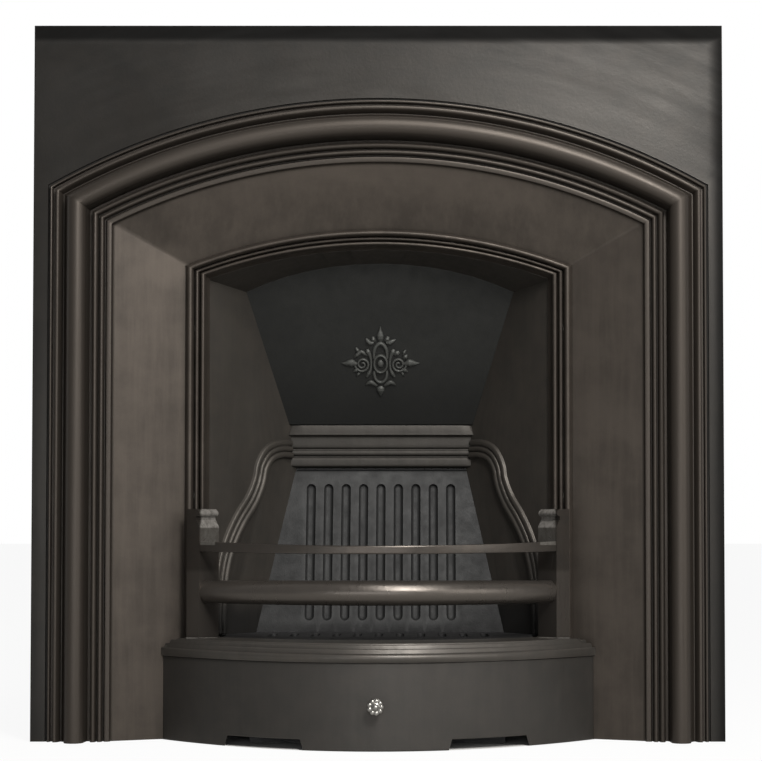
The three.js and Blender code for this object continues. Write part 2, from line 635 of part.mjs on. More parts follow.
// An air notch in the foot of the cover, with its inner side sloping.
function sideNotch() {
  const points = [[NOTCH_IN - 3, -5], [NOTCH_IN, NOTCH_TALL], [NOTCH_OUT, NOTCH_TALL], [NOTCH_OUT + 1, -5]];
  const rings = [-160, 60].map((y) => points.map(([x, z]) => new THREE.Vector3(x, y, z)));
  return solid(loft(rings, points.map(([x, z]) => new THREE.Vector2(x, z))));
}

function coverKnob() {
  const face = COVER_FACE.front - GAP;
  const petals = 8;
  const shape = new THREE.Shape();
  for (let i = 0; i < petals; i += 1) {
    const a = (2 * Math.PI * i) / petals;
    const at = KNOB_FACE_R * 0.72;
    shape.absarc(at * Math.cos(a), at * Math.sin(a), KNOB_FACE_R * 0.3, a - 1.75, a + 1.75);
  }
  const rose = new THREE.ExtrudeGeometry(shape, {
    depth: 5, bevelEnabled: true, bevelSize: 0.8, bevelThickness: 1.5, bevelSegments: 1, curveSegments: 4,
  });
  rose.rotateX(Math.PI / 2).translate(0, face - KNOB_REACH + 9, KNOB_Z);
  const stem = new THREE.LatheGeometry([
    [0, -KNOB_REACH], [3, -KNOB_REACH + 0.6], [4, -KNOB_REACH + 3], [4, -14], [5, -8], [9.5, -4],
    [10, 0], [KNOB_STEM_R, 0], [KNOB_STEM_R, 18], [0, 18],
  ].map(([r, y]) => new THREE.Vector2(r, y)), 16);
  stem.translate(0, face, KNOB_Z);
  return solid(rose).add(solid(stem));
}

function knobNut() {
  const back = COVER_FACE.front + COVER_THICK + GAP;
  return bar('y', 6, back, back + 5, { z: KNOB_Z }, 6)
    .subtract(bar('y', KNOB_STEM_R + 0.15, back - 2, back + 8, { z: KNOB_Z }, 12));
}

// ---------------------------------------------------------------- front bars
// A post is a splayed angle in plan: an outer leg in line with the bars, and an inner leg that faces the fire.
// Its cap is cut into the inner leg: a weathered slope, a quirk and a bead, as [height, depth of the cut].
const POST_CAP = [
  [POST_TOP - 24, 0], [POST_TOP - 15, 5], [POST_TOP - 14.5, 6.5], [POST_TOP - 9.5, 6.5], [POST_TOP - 9, 2.5],
  [POST_TOP - 5.5, 0.8], [POST_TOP - 2, 1.8], [POST_TOP, 4.5],
];

// A corner of the post: so far behind the face of the outer leg, and behind the face of the inner leg.
function postCorner(behindOuter, behindInner) {
  const arris = new THREE.Vector2(POST_ARRIS.half, POST_ARRIS.y);
  const outer = new THREE.Vector2(POST_OUTER.half, POST_OUTER.y).sub(arris).normalize();
  const inner = new THREE.Vector2(POST_INNER.half, POST_INNER.y).sub(arris).normalize();
  const spread = outer.cross(inner);
  return arris.addScaledVector(inner, behindOuter / spread).addScaledVector(outer, behindInner / spread);
}

const pegAt = postCorner(POST_THICK, POST_THICK);

function frontPost() {
  const arris = new THREE.Vector2(POST_ARRIS.half, POST_ARRIS.y);
  const innerEnd = new THREE.Vector2(POST_INNER.half, POST_INNER.y);
  const outerEnd = new THREE.Vector2(POST_OUTER.half, POST_OUTER.y);
  const plan = (cut) => [
    outerEnd, postCorner(0, cut), innerEnd.clone().add(postCorner(0, cut)).sub(arris),
    innerEnd.clone().add(postCorner(0, POST_THICK)).sub(arris), pegAt,
    outerEnd.clone().add(postCorner(POST_THICK, 0)).sub(arris),
  ];
  const levels = [[GRATE_TOP + GAP, 0], ...POST_CAP];
  const rings = levels.map(([z, cut]) => plan(cut).map(({ x, y }) => new THREE.Vector3(x, y, z)));
  const post = solid(loft(rings, plan(0)));
  const boss = bar('z', PEG_R + 2, GRATE_TOP + GAP, GRATE_TOP + 14, pegAt, 12);
  return union([post, boss, bar('z', PEG_R, GRATE_TOP - PEG_LONG, GRATE_TOP + 5, pegAt, 12)]);
}

// The bow of a bar whose face passes the arris of each post and ends inside it.
function barBow(front, behind) {
  const half = POST_ARRIS.half + BAR_TAIL;
  return { half, front, end: front + (POST_ARRIS.y + behind - front) * (half / POST_ARRIS.half) ** 2 };
}

function flatBar() {
  const { thick, front } = FLAT_BAR;
  const face = barBow(front, 0.5);
  const inner = barBow(front + thick, thick);
  const edge = (bow, up, inset) => ({
    bow,
    z: FLAT_BAR.z + up * (FLAT_BAR.tall / 2 - inset),
    end_z: FLAT_BAR.end_z + up * (FLAT_BAR.end_tall / 2 - inset),
  });
  return bowLoft([edge(inner, -1, 0), edge(inner, 1, 0), edge(face, 1, 1), edge(face, -1, 1)], 20);
}

// The round bar swells towards its middle.
function roundBar() {
  const steps = 20;
  const sides = 14;
  const path = barBow(ROUND_BAR.front + ROUND_BAR.radius, ROUND_BAR.end_radius + 5);
  const circle = Array.from({ length: sides }, (_, i) => (2 * Math.PI * i) / sides);
  const rings = [];
  for (let i = 0; i <= steps; i += 1) {
    const turn = (2 * i) / steps - 1;
    const r = ROUND_BAR.radius + (ROUND_BAR.end_radius - ROUND_BAR.radius) * turn ** 2;
    const slope = (2 * (path.end - path.front) * turn) / path.half;
    const out = new THREE.Vector3(slope, -1, 0).normalize();
    const centre = onBow(path, turn, ROUND_BAR.z);
    rings.push(circle.map((a) => new THREE.Vector3(
      centre.x + out.x * r * Math.cos(a), centre.y + out.y * r * Math.cos(a), centre.z + r * Math.sin(a))));
  }
  return solid(loft(rings, circle.map((a) => new THREE.Vector2(Math.cos(a), Math.sin(a)))));
}

function frontBars() {
  const post = frontPost();
  return union([post, mirrored(post), flatBar(), roundBar()]);
}

// ---------------------------------------------------------------- lift-out bottom grate
function bottomGrate() {
  const clear = 1;
  const front = { half: RAIL_INNER.half, front: RAIL_INNER.front + clear, end: RAIL_INNER.end + clear };
  const sideHalf = POST_INNER.half - 8;
  const outline = [];
  const steps = 12;
  for (let i = 0; i <= steps; i += 1) {
    const p = onBow(front, ((2 * i) / steps - 1) * (sideHalf / front.half), 0);
    outline.push([p.x, p.y]);
  }
  const rear = BACK_FOOT_Y - 1.2;
  const cheekClear = 8.5;        // clears the reeded moulding as the grate is lifted
  const right = [[sideHalf, 64], [cheekInner(80) - cheekClear, 80], [cheekInner(rear) - cheekClear, rear]];
  outline.push(...right, ...right.map(([x, y]) => [-x, y]).reverse());
  return planPrism(outline, GRATE_TOP - GRATE_THICK, GRATE_TOP, grateHoles());
}

function grateHoles() {
  const holes = [];
  for (let i = -4; i <= 4; i += 1) {
    const x = i * HOLE_PITCH;
    const y = onBow(RAIL_INNER, x / RAIL_INNER.half, 0).y + 26;
    const round = new THREE.Path();
    round.absarc(x, y, HOLE_R, 0, 2 * Math.PI);
    holes.push(round);
  }
  for (let i = -5; i <= 5; i += 1) {
    const x = i * HOLE_PITCH;
    const slot = new THREE.Path();
    slot.absarc(x, SLOT_FRONT_Y + SLOT_LONG, HOLE_R, 0, Math.PI);
    slot.absarc(x, SLOT_FRONT_Y, HOLE_R, Math.PI, 2 * Math.PI);
    holes.push(slot);
  }
  return holes;
}

// ---------------------------------------------------------------- smoke flap and its hinge
const planeLength = Math.hypot(FLAP_FOOT_Y - FLAP_CORNER_Y, FLAP_CORNER_Z - FLAP_FOOT_Z);
const upPlane = new THREE.Vector3(0, FLAP_CORNER_Y - FLAP_FOOT_Y, FLAP_CORNER_Z - FLAP_FOOT_Z).normalize();
const behindPlane = new THREE.Vector3(0, upPlane.z, -upPlane.y);

// A point of the flap: x across, up its slope from the foot, and behind its face.
function onFlap(x, up, behind) {
  return new THREE.Vector3(x, FLAP_FOOT_Y, FLAP_FOOT_Z)
    .addScaledVector(upPlane, up).addScaledVector(behindPlane, behind);
}

const hingePoint = onFlap(0, HINGE_UP, HINGE_BEHIND);
const hingeAxis = { x: 0, y: hingePoint.y, z: hingePoint.z };

function flapPrism(points, from, to) {
  const rings = [from, to].map((behind) => points.map(([x, up]) => onFlap(x, up, behind)));
  return solid(loft(rings, points.map(([x, up]) => new THREE.Vector2(x, up))));
}

// The relief on the flap: four pointed leaves round an oval boss, and two side scrolls.
function flapOrnament() {
  const leaf = (turn, long) => {
    const wide = 9;
    const outline = [[0, 6], [wide, 16], [wide * 0.8, long * 0.55], [2.5, long * 0.72], [0, long],
      [-2.5, long * 0.72], [-wide * 0.8, long * 0.55], [-wide, 16]];
    const c = Math.cos(turn);
    const s = Math.sin(turn);
    return flapPrism(outline.map(([a, b]) => [a * c + b * s, ORNAMENT_UP - a * s + b * c]), -3.5, 1);
  };
  const disc = (x, up, rx, ru, proud) => flapPrism(Array.from({ length: 12 }, (_, i) => {
    const a = (2 * Math.PI * i) / 12;
    return [x + rx * Math.cos(a), ORNAMENT_UP + up + ru * Math.sin(a)];
  }), -proud, 1);
  return union([
    leaf(0, ORNAMENT_HALF_HEIGHT), leaf(Math.PI, ORNAMENT_HALF_HEIGHT),
    leaf(Math.PI / 2, ORNAMENT_HALF_WIDTH), leaf(-Math.PI / 2, ORNAMENT_HALF_WIDTH),
    disc(-25, 0, 9, 13, 4), disc(25, 0, 9, 13, 4), disc(0, 0, 9, 11.5, 6),
  ]);
}

function damperFlap() {
  const footUp = 0.5;
  const footHalf = cheekInner(FLAP_FOOT_Y) + FLAP_LAP;
  const headHalf = cheekInner(FLAP_CORNER_Y) + FLAP_LAP;
  const crownUp = (FLAP_CORNER_Z + SOFFIT_BACK_RISE - FLAP_FOOT_Z) / upPlane.z + FLAP_LAP;
  const rise = crownUp - planeLength;
  const radius = (headHalf ** 2 + rise ** 2) / (2 * rise);
  const outline = [[-footHalf, footUp], [footHalf, footUp]];
  const steps = 12;
  for (let i = 0; i <= steps; i += 1) {
    const x = headHalf * (1 - (2 * i) / steps);
    outline.push([x, crownUp - radius + Math.sqrt(radius ** 2 - x ** 2)]);
  }
  const webFoot = HINGE_UP - KNUCKLE_R * 0.6;
  const webHead = HINGE_UP + KNUCKLE_R;
  const web = [[KNUCKLE.in, webFoot], [KNUCKLE.in, webHead], [KNUCKLE.out, webHead], [KNUCKLE.out, webFoot]];
  const knuckle = bar('x', KNUCKLE_R, KNUCKLE.in, KNUCKLE.out, hingeAxis, 14)
    .add(flapPrism(web, FLAP_THICK - 1, HINGE_BEHIND));
  return union([flapPrism(outline, 0, FLAP_THICK), knuckle, mirrored(knuckle), flapOrnament()])
    .subtract(bar('x', HINGE_ROD_R + BORE_CLEAR, -HINGE_ROD_HALF, HINGE_ROD_HALF, hingeAxis));
}

function hingeRod() {
  return bar('x', HINGE_ROD_R, -HINGE_ROD_HALF, HINGE_ROD_HALF, hingeAxis);
}

// ---------------------------------------------------------------- ash pan
function ashpan() {
  const outer = block(-PAN_HALF, PAN_HALF, PAN_FRONT, PAN_BACK, 0, PAN_TALL);
  const inner = block(-PAN_HALF + PAN_WALL, PAN_HALF - PAN_WALL, PAN_FRONT + PAN_WALL, PAN_BACK - PAN_WALL,
    PAN_WALL, PAN_TALL + 5);
  const lip = block(-PAN_HALF, PAN_HALF, PAN_FRONT - 5, PAN_FRONT + 1, PAN_TALL - PAN_WALL, PAN_TALL);
  return union([outer.subtract(inner), lip]);
}

function panHandle() {
  const front = PAN_FRONT - GAP;
  const reach = 32;
  const half = 45;
  const z = 38;
  const frame = block(-half, half, front - reach, front, z - 4, z + 4);
  const gap = block(-half + 8, half - 8, front - reach + 8, front + 1, z - 6, z + 6);
  const pads = [-1, 1].map((side) => {
    const pad = block(half - 16, half + 6, front - 3, front, z - 12, z + 12);
    return side > 0 ? pad : mirrored(pad);
  });
  return union([frame.subtract(gap), ...pads]);
}

// ---------------------------------------------------------------- the assembly
const frontMost = RAIL_NOSE.front;
const knobMost = COVER_FACE.front - GAP - KNOB_REACH;
const backMost = LEDGE_FLANGE_Y + LEDGE_FLANGE_THICK + GAP + BOLT_HEAD_TALL;
const middleY = (Math.min(frontMost, knobMost) + backMost) / 2;

const fireplace = new THREE.Group();
fireplace.name = 'cast_iron_fireplace';
fireplace.position.y = -middleY;

function addPiece(name, body, material) {
  const mesh = new THREE.Mesh(geometryOf(body), material);
  mesh.name = name;
  fireplace.add(mesh);
}

const cheek = rightCheek();
addPiece('front_frame', frontFrame(), blackLead);
addPiece('right_cheek', cheek, blackLead);
addPiece('left_cheek', mirrored(cheek), blackLead);
addPiece('soffit_plate', soffitPlate(), blackLead);
addPiece('fireback_ledge', firebackLedge(), blackLead);
addPiece('fireback', fireback(), fireIron);
addPiece('front_rail', frontRail(), blackLead);
addPiece('front_bars', frontBars(), blackLead);
addPiece('bottom_grate', bottomGrate(), fireIron);
addPiece('damper_flap', damperFlap(), flapIron);
addPiece('flap_hinge_rod', hingeRod(), boltSteel);
addPiece('ashpan_cover', ashpanCover(), blackLead);
addPiece('cover_knob', coverKnob(), polished);
addPiece('cover_knob_nut', knobNut(), boltSteel);
addPiece('ashpan', ashpan(), sheet);
addPiece('ashpan_handle', panHandle(), sheet);
bolts.forEach((bolt) => addPiece(bolt.name, boltBody(bolt), boltSteel));

export default fireplace;
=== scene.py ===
"""An arched cast-iron fireplace insert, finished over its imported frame.

Sizes are in millimetres in the maker's frame, where y = 0 is the face of the flat plate, larger y is
deeper in the chimney, and z = 0 is the hearth. place() turns such a point into the frame's metres.
"""
import math

import bmesh
import bpy
from mathutils import Euler, Matrix, Vector


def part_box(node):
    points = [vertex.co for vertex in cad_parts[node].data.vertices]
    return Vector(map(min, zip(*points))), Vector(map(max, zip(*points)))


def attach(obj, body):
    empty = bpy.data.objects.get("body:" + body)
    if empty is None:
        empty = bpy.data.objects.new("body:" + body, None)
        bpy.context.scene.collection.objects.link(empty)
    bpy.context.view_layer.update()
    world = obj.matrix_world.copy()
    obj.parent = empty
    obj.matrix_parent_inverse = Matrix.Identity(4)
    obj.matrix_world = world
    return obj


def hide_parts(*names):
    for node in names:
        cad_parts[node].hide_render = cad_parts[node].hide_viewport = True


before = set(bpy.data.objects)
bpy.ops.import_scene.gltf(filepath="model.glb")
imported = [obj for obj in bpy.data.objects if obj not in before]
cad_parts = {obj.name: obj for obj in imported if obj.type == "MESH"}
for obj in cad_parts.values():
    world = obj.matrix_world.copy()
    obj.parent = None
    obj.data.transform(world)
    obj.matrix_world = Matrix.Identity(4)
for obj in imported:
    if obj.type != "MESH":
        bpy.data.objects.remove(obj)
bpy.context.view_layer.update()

MM = 0.001

# ---------------------------------------------------------------- sizes of the castings
GAP = 0.3
PLATE_HALF = 465
PLATE_TOP = 965
PLATE_THICK = 7
RIM_DEPTH = 25
ARCH_CENTRE_Z = -32
MOULD_OUT = (442, 899)            # half width and radius of an arch
MOULD_IN = (352, 810)
PANEL_IN = (265, 727)
OPENING = (233, 701)
PANEL_Y_OUT = 10
PANEL_Y_IN = 48
FRAME_BACK_Y = 66
PANEL_WALL = 7.6
TORUS_RADIUS = 13
TORUS_PROUD = 28
TORUS_AT = 37.8
MOULD_FROM = (442, 895)           # where the outer moulding starts and ends on the finished face
MOULD_TO = (355.4, 807.8)

CHEEK_START_HALF = 236
CHEEK_RUN = 0.6
CHEEK_DEEP = 0.8

GRATE_TOP = 139
BACK_FOOT_Y = 148.6
BACK_KNEE_Z = 140
BACK_TOP_Y = 217
BACK_TOP_Z = 371
BACK_THICK = 10
BACK_LAP = 12
FLUTE_COUNT = 9
FLUTE_PITCH = 25.1
FLUTE_WIDTH = 12.4
FLUTE_FOOT_Z = 155.4
FLUTE_HEAD_Z = 348.7
BACK_CHAMFER = 3.5

FLAP_FOOT_Y = 205
FLAP_FOOT_Z = 434
FLAP_CORNER_Y = 130
FLAP_CORNER_Z = 618
FLAP_THICK = 6
FLAP_LAP = 10
SOFFIT_BACK_RISE = 34
LEDGE_FLANGE_Y = 222.3
LEDGE_BACK_Y = 229.3
LEDGE_LIP = 2.8
HINGE_UP = 3
HINGE_BEHIND = 13
KNUCKLE_R = 7.5
KNUCKLE = (118, 138)
ROD_BORE_R = 4.35
ORNAMENT_UP = 93

RAIL_BOTTOM = 113
RAIL_NOSE = (294, -130, 34)       # half width, front and end of a bowed line
RAIL_SHELF = (262, -104, 4)
RAIL_INNER = (240, -66, 34)
RAIL_FLANGE = (232, -54, 38)
PANEL_CLEAR = 0.5

COVER_FACE = (294, -124, 38)
COVER_THICK = 6
COVER_TOP = RAIL_BOTTOM - 0.5
NOTCH_IN = 98
NOTCH_OUT = 196
NOTCH_TALL = 13.5
KNOB_Z = 58
KNOB_REACH = 25
KNOB_STEM_R = 3

POST_ARRIS = Vector((239.5, -1))
POST_OUTER = Vector((258, 15))
POST_INNER = Vector((217, 38))
POST_THICK = 8
POST_TOP = 311
BAR_TAIL = 5
FLAT_BAR_Z, FLAT_BAR_TALL = (257, 261), (11, 14)      # at the middle and at the ends
FLAT_BAR_THICK, FLAT_BAR_FRONT = 9, -104
ROUND_BAR_Z, ROUND_BAR_R = (201, 199.8), (16.4, 15)    # at the middle and at the ends
ROUND_BAR_FRONT = -106

# where the finishes change, in metres; each pair is a soft edge
ARCH_BRUSHED_AND_LIT = (0.70, 0.80)       # the height at which the brushing turns from upright to round the arch, and the panels get painted light above
PANEL_EDGE = ((0.3562, 0.3552), (0.8112, 0.8098))      # half width and radius
MOULD_EDGE = ((0.4425, 0.4405), (0.8965, 0.894))
PAINTED_SHADOW_SIDE, PAINTED_SHADOW_TOP = (0.443, 0.468), (0.938, 0.950)      # painted shadow of the surround on the plate's right margin and top
PALE_PATCH, DIM_PATCH = (-0.284, 0.642, 0.040), (-0.292, 0.690, 0.030)      # x, height and reach
POST_LEG = ((0.2155, 0.2175), (0.240, 0.237))

FACE_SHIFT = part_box("front_frame")[0].y / MM + TORUS_PROUD


def place(x, y, z):
    """A point of the maker's frame, in the frame's metres."""
    return (x * MM, (y + FACE_SHIFT) * MM, z * MM)


# ---------------------------------------------------------------- mesh helpers
def add_object(name, data):
    """A new object in the scene, at the origin."""
    made = bpy.data.objects.new(name, data)
    bpy.context.scene.collection.objects.link(made)
    return made


def circle(sides):
    """Steps round a circle, as (cosine, sine) pairs."""
    return [(math.cos(2 * math.pi * i / sides), math.sin(2 * math.pi * i / sides)) for i in range(sides)]


def half_circle(steps):
    """Steps round half a circle, as (cosine, sine) pairs."""
    return [(math.cos(math.pi * i / steps), math.sin(math.pi * i / steps)) for i in range(steps + 1)]


def new_piece(name, vertices, faces, crease=35):
    """A smooth-shaded mesh object from points in millimetres, with hard edges above the crease angle."""
    mesh = bpy.data.meshes.new(name)
    mesh.from_pydata([place(*v) for v in vertices], [], faces)
    piece = add_object(name, mesh)
    clean(piece, crease)
    return piece


def clean(piece, crease=35, merge=0.00002):
    """Merges doubles, turns the faces outwards and shades the curved parts smooth."""
    work = bmesh.new()
    work.from_mesh(piece.data)
    bmesh.ops.remove_doubles(work, verts=work.verts, dist=merge)
    bmesh.ops.recalc_face_normals(work, faces=work.faces)
    work.to_mesh(piece.data)
    work.free()
    piece.data.shade_smooth()
    piece.data.set_sharp_from_angle(angle=math.radians(crease))


class Shell:
    """Collects closed lofts that are cast in one piece."""

    def __init__(self):
        self.vertices = []
        self.faces = []

    def skin(self, rings, rows):
        """Adds rings of points, and quads over so many rows of them."""
        start, count = len(self.vertices), len(rings[0])
        for i in range(rows):
            a, b = start + i * count, start + (i + 1) % len(rings) * count
            self.faces += [(a + j, a + (j + 1) % count, b + (j + 1) % count, b + j) for j in range(count)]
        for ring in rings:
            self.vertices += ring

    def loft(self, rings):
        """A solid through the rings, capped at both ends."""
        start, count = len(self.vertices), len(rings[0])
        self.skin(rings, len(rings) - 1)
        end = len(self.vertices)
        self.faces += [tuple(range(start + count - 1, start - 1, -1)), tuple(range(end - count, end))]
        return self

    def closed_ring(self, rings):
        """A solid whose last ring joins its first."""
        self.skin(rings, len(rings))

    def block(self, x0, x1, y0, y1, z0, z1):
        return self.loft([[(x0, y0, z), (x1, y0, z), (x1, y1, z), (x0, y1, z)] for z in (z0, z1)])

    def add(self, other):
        """Takes in all of another shell."""
        start = len(self.vertices)
        self.vertices += other.vertices
        self.faces += [tuple(start + i for i in face) for face in other.faces]

    def mirror(self):
        """Adds the mirror image of everything collected so far."""
        count = len(self.vertices)
        self.vertices += [(-x, y, z) for x, y, z in self.vertices]
        self.faces += [tuple(count + i for i in reversed(face)) for face in self.faces]
        return self

    def piece(self, name, crease=35):
        return new_piece(name, self.vertices, self.faces, crease)


def apply_modifiers(piece):
    """Turns the piece's modifiers into plain mesh."""
    graph = bpy.context.evaluated_depsgraph_get()
    mesh = bpy.data.meshes.new_from_object(piece.evaluated_get(graph))
    piece.modifiers.clear()
    piece.data = mesh
    return piece


def combine(piece, others, operation="UNION"):
    """Joins or cuts closed solids and deletes the ones used up."""
    for other in others:
        cut = piece.modifiers.new("cut", "BOOLEAN")
        cut.operation = operation
        cut.solver = "EXACT"
        cut.object = other
        apply_modifiers(piece)
        bpy.data.objects.remove(other)
    return piece


def soften(piece, width=0.8, angle=40, segments=2):
    """Rounds the sharp edges, as the sand mould and the polishing leave them."""
    edge = piece.modifiers.new("edge", "BEVEL")
    edge.width = width * MM
    edge.segments = segments
    edge.limit_method = "ANGLE"
    edge.angle_limit = math.radians(angle)
    edge.harden_normals = False
    return apply_modifiers(piece)


def cad_copy(node, name, crease=30):
    """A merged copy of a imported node's own mesh, for finishing."""
    piece = add_object(name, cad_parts[node].data.copy())
    piece.data.materials.clear()
    clean(piece, crease)
    return piece


def absorb(piece, others):
    """Takes other objects' closed shells into this one, without cutting them."""
    work = bmesh.new()
    work.from_mesh(piece.data)
    for other in others:
        work.from_mesh(other.data)
        bpy.data.objects.remove(other)
    work.to_mesh(piece.data)
    work.free()
    return piece


def mark_edges(piece):
    """Stores how far each point stands proud or lies in a hollow, for the burnish and the painted shade in
    hollows.
    """
    mesh = piece.data
    full = 0.6                     # bend per millimetre that counts as a full edge
    strongest = [0.0] * len(mesh.vertices)
    normals = [Vector(n.vector) for n in mesh.vertex_normals]
    for edge in mesh.edges:
        a, b = edge.vertices
        along = mesh.vertices[b].co - mesh.vertices[a].co
        length = along.length / MM
        if length < 1e-6:
            continue
        for point, sign in ((a, -1), (b, 1)):
            bend = sign * normals[point].dot(along) / MM / length ** 2
            if abs(bend) > abs(strongest[point]):
                strongest[point] = bend
    layer = mesh.attributes.new("edge", "FLOAT", "POINT")
    layer.data.foreach_set("value", [max(-1.0, min(1.0, bend / full)) for bend in strongest])


def finish_piece(piece, body, slot, material, *nodes):
    """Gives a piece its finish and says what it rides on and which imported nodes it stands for."""
    even = piece.modifiers.new("even_shading", "WEIGHTED_NORMAL")
    even.keep_sharp = True
    apply_modifiers(piece)
    mark_edges(piece)
    piece.data.materials.clear()
    piece.data.materials.append(material)
    for face in piece.data.polygons:
        face.material_index = 0
    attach(piece, body)
    if nodes:
        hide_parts(*nodes)
    return piece


# ---------------------------------------------------------------- finishes
def feed(tree, value, socket):
    """Puts a colour, a direction, a number or another node's output into a socket."""
    if isinstance(value, tuple):
        socket.default_value = (*value, 1)[:len(socket.default_value)]
    elif isinstance(value, (int, float)):
        socket.default_value = value
    else:
        tree.links.new(value, socket)


def add_node(tree, kind, inputs=(), **settings):
    """A node with its settings made, and with some of its inputs fed by name or number."""
    made = tree.nodes.new(kind)
    for key, value in settings.items():
        setattr(made, key, value)
    for label, value in dict(inputs).items():
        feed(tree, value, made.inputs[label])
    return made


def reckon(tree, operation, *values):
    """One sum in a node tree."""
    return add_node(tree, "ShaderNodeMath", enumerate(values), operation=operation).outputs["Value"]


def remap(tree, value, low, high, to_low, to_high):
    """A value scaled from one range to another, and held within it."""
    ends = {"From Min": low, "From Max": high, "To Min": to_low, "To Max": to_high}
    return add_node(tree, "ShaderNodeMapRange", {"Value": value, **ends}).outputs["Result"]


def split(tree, vector):
    """The three parts of a vector."""
    return add_node(tree, "ShaderNodeSeparateXYZ", {0: vector}).outputs


def shade(colour, share):
    """A colour made darker or lighter."""
    return tuple(share * c for c in colour)


class Finish:
    """A small builder for the node tree of one metal."""

    def __init__(self, name, metallic, specular=0.5):
        self.material = bpy.data.materials.new(name)
        self.material.use_nodes = True
        self.tree = self.material.node_tree
        self.shader = self.tree.nodes["Principled BSDF"]
        self.shader.inputs["Metallic"].default_value = metallic
        self.shader.inputs["Specular IOR Level"].default_value = specular
        coordinates = self.node("ShaderNodeTexCoord")
        self.place = coordinates.outputs["Object"]
        self.x, self.y, self.z = split(self.tree, self.place)
        self.backwards = split(self.tree, coordinates.outputs["Normal"])["Y"]    # 1 on a face that looks back

    def node(self, kind, inputs=(), **settings):
        return add_node(self.tree, kind, inputs, **settings)

    def link(self, source, target):
        self.tree.links.new(source, target)

    def noise(self, scale, detail=4.0, roughness=0.55, stretch=(1, 1, 1), over=None):
        """Noise in object space; stretch above 1 packs it closer along that axis."""
        spread = self.node("ShaderNodeMapping", {"Scale": stretch, "Vector": over or self.place})
        made = self.node("ShaderNodeTexNoise", {
            "Vector": spread.outputs["Vector"], "Scale": scale, "Detail": detail, "Roughness": roughness})
        return made.outputs["Fac"]

    def remap(self, value, low, high, to_low, to_high):
        return remap(self.tree, value, low, high, to_low, to_high)

    def math(self, operation, *values):
        return reckon(self.tree, operation, *values)

    def times(self, a, b):
        return self.math("MULTIPLY", a, b)

    def mix(self, share, a, b):
        return self.node("ShaderNodeMix", {0: share, 6: a, 7: b}, data_type="RGBA").outputs[2]

    def step(self, value, low, high):
        """A soft step from 0 at low to 1 at high."""
        made = self.remap(value, low, high, 0, 1)
        made.node.interpolation_type = "SMOOTHSTEP"
        return made

    def round_arch(self):
        """Angle about the centre of the arch, and distance from it."""
        up = self.math("SUBTRACT", self.z, ARCH_CENTRE_Z * MM)
        square = self.math("ADD", self.times(self.x, self.x), self.times(up, up))
        return self.math("ARCTAN2", self.x, up), self.math("SQRT", square)

    def within_arch(self, legs, crown):
        """1 inside an arch and 0 outside: each pair says where its soft edge ends and where it starts."""
        across = self.step(self.math("ABSOLUTE", self.x), *legs)
        return self.times(across, self.step(self.round_arch()[1], *crown))

    def spot(self, x, z, reach):
        """A soft round patch on the face."""
        away = [self.math("SUBTRACT", axis, at) for axis, at in ((self.x, x), (self.z, z))]
        square = self.math("ADD", *(self.times(part, part) for part in away))
        return self.step(self.math("SQRT", square), reach, reach * 0.2)

    def below_mask(self, clouds, top, soft, ragged):
        """1 below a height, with a soft and ragged upper edge."""
        height = self.math("ADD", self.z, self.remap(clouds, 0.3, 0.7, -ragged, ragged))
        return self.step(height, top + soft, top - soft)

    def vector(self, *parts):
        return self.node("ShaderNodeCombineXYZ", enumerate(parts)).outputs["Vector"]

    def edges(self, sign):
        """The stored edge mark: 1 on a full arris with sign 1, or in a full hollow with sign -1."""
        mark = self.node("ShaderNodeAttribute", attribute_name="edge")
        return self.remap(mark.outputs["Fac"], 0.12 * sign, 0.9 * sign, 0, 1)

    def colour(self, value):
        self.link(value, self.shader.inputs["Base Color"])

    def roughness(self, value):
        self.link(value, self.shader.inputs["Roughness"])

    def bump(self, heights, strength):
        """Adds bumps from (height, depth in millimetres) pairs, one after another."""
        normal = None
        for height, depth in heights:
            made = self.node("ShaderNodeBump", {
                "Strength": strength, "Distance": depth * MM, "Height": height})
            if normal:
                self.link(normal, made.inputs["Normal"])
            normal = made.outputs["Normal"]
        self.link(normal, self.shader.inputs["Normal"])


def lap_front(finish, tint, dull, lapped, clouds, brush):
    """Rubs the raised mouldings of the plate brighter, and gives its splayed panels the lapped colour."""
    upper = finish.step(finish.z, *ARCH_BRUSHED_AND_LIT)
    front = finish.step(finish.backwards, 0.45, 0.2)
    panel = finish.times(finish.within_arch(*PANEL_EDGE), front)
    mouldings = finish.times(finish.within_arch(*MOULD_EDGE), front)
    drifts = finish.noise(19, 5, 0.62)
    lap = finish.mix(finish.remap(drifts, 0.38, 0.62, 0, 1), shade(lapped, 0.72), lapped)
    lap = finish.mix(finish.remap(brush, 0.42, 0.75, 0, 0.45), lap, shade(lapped, 1.4))
    # painted light: the panels are painted lighter round the crown of the arch
    lap = finish.mix(finish.times(upper, 0.45), lap, shade(lapped, 1.9))
    lap = finish.mix(finish.times(finish.spot(*PALE_PATCH), 0.4), lap, shade(lapped, 1.7))
    lap = finish.mix(finish.times(finish.spot(*DIM_PATCH), 0.35), lap, shade(lapped, 0.5))
    tint = finish.mix(finish.times(mouldings, 0.82), tint, shade(lapped, 0.9))
    tint = finish.mix(finish.times(panel, finish.remap(clouds, 0.3, 0.7, 0.75, 1)), tint, lap)
    return tint, finish.math("ADD", dull, finish.times(panel, 0.05))


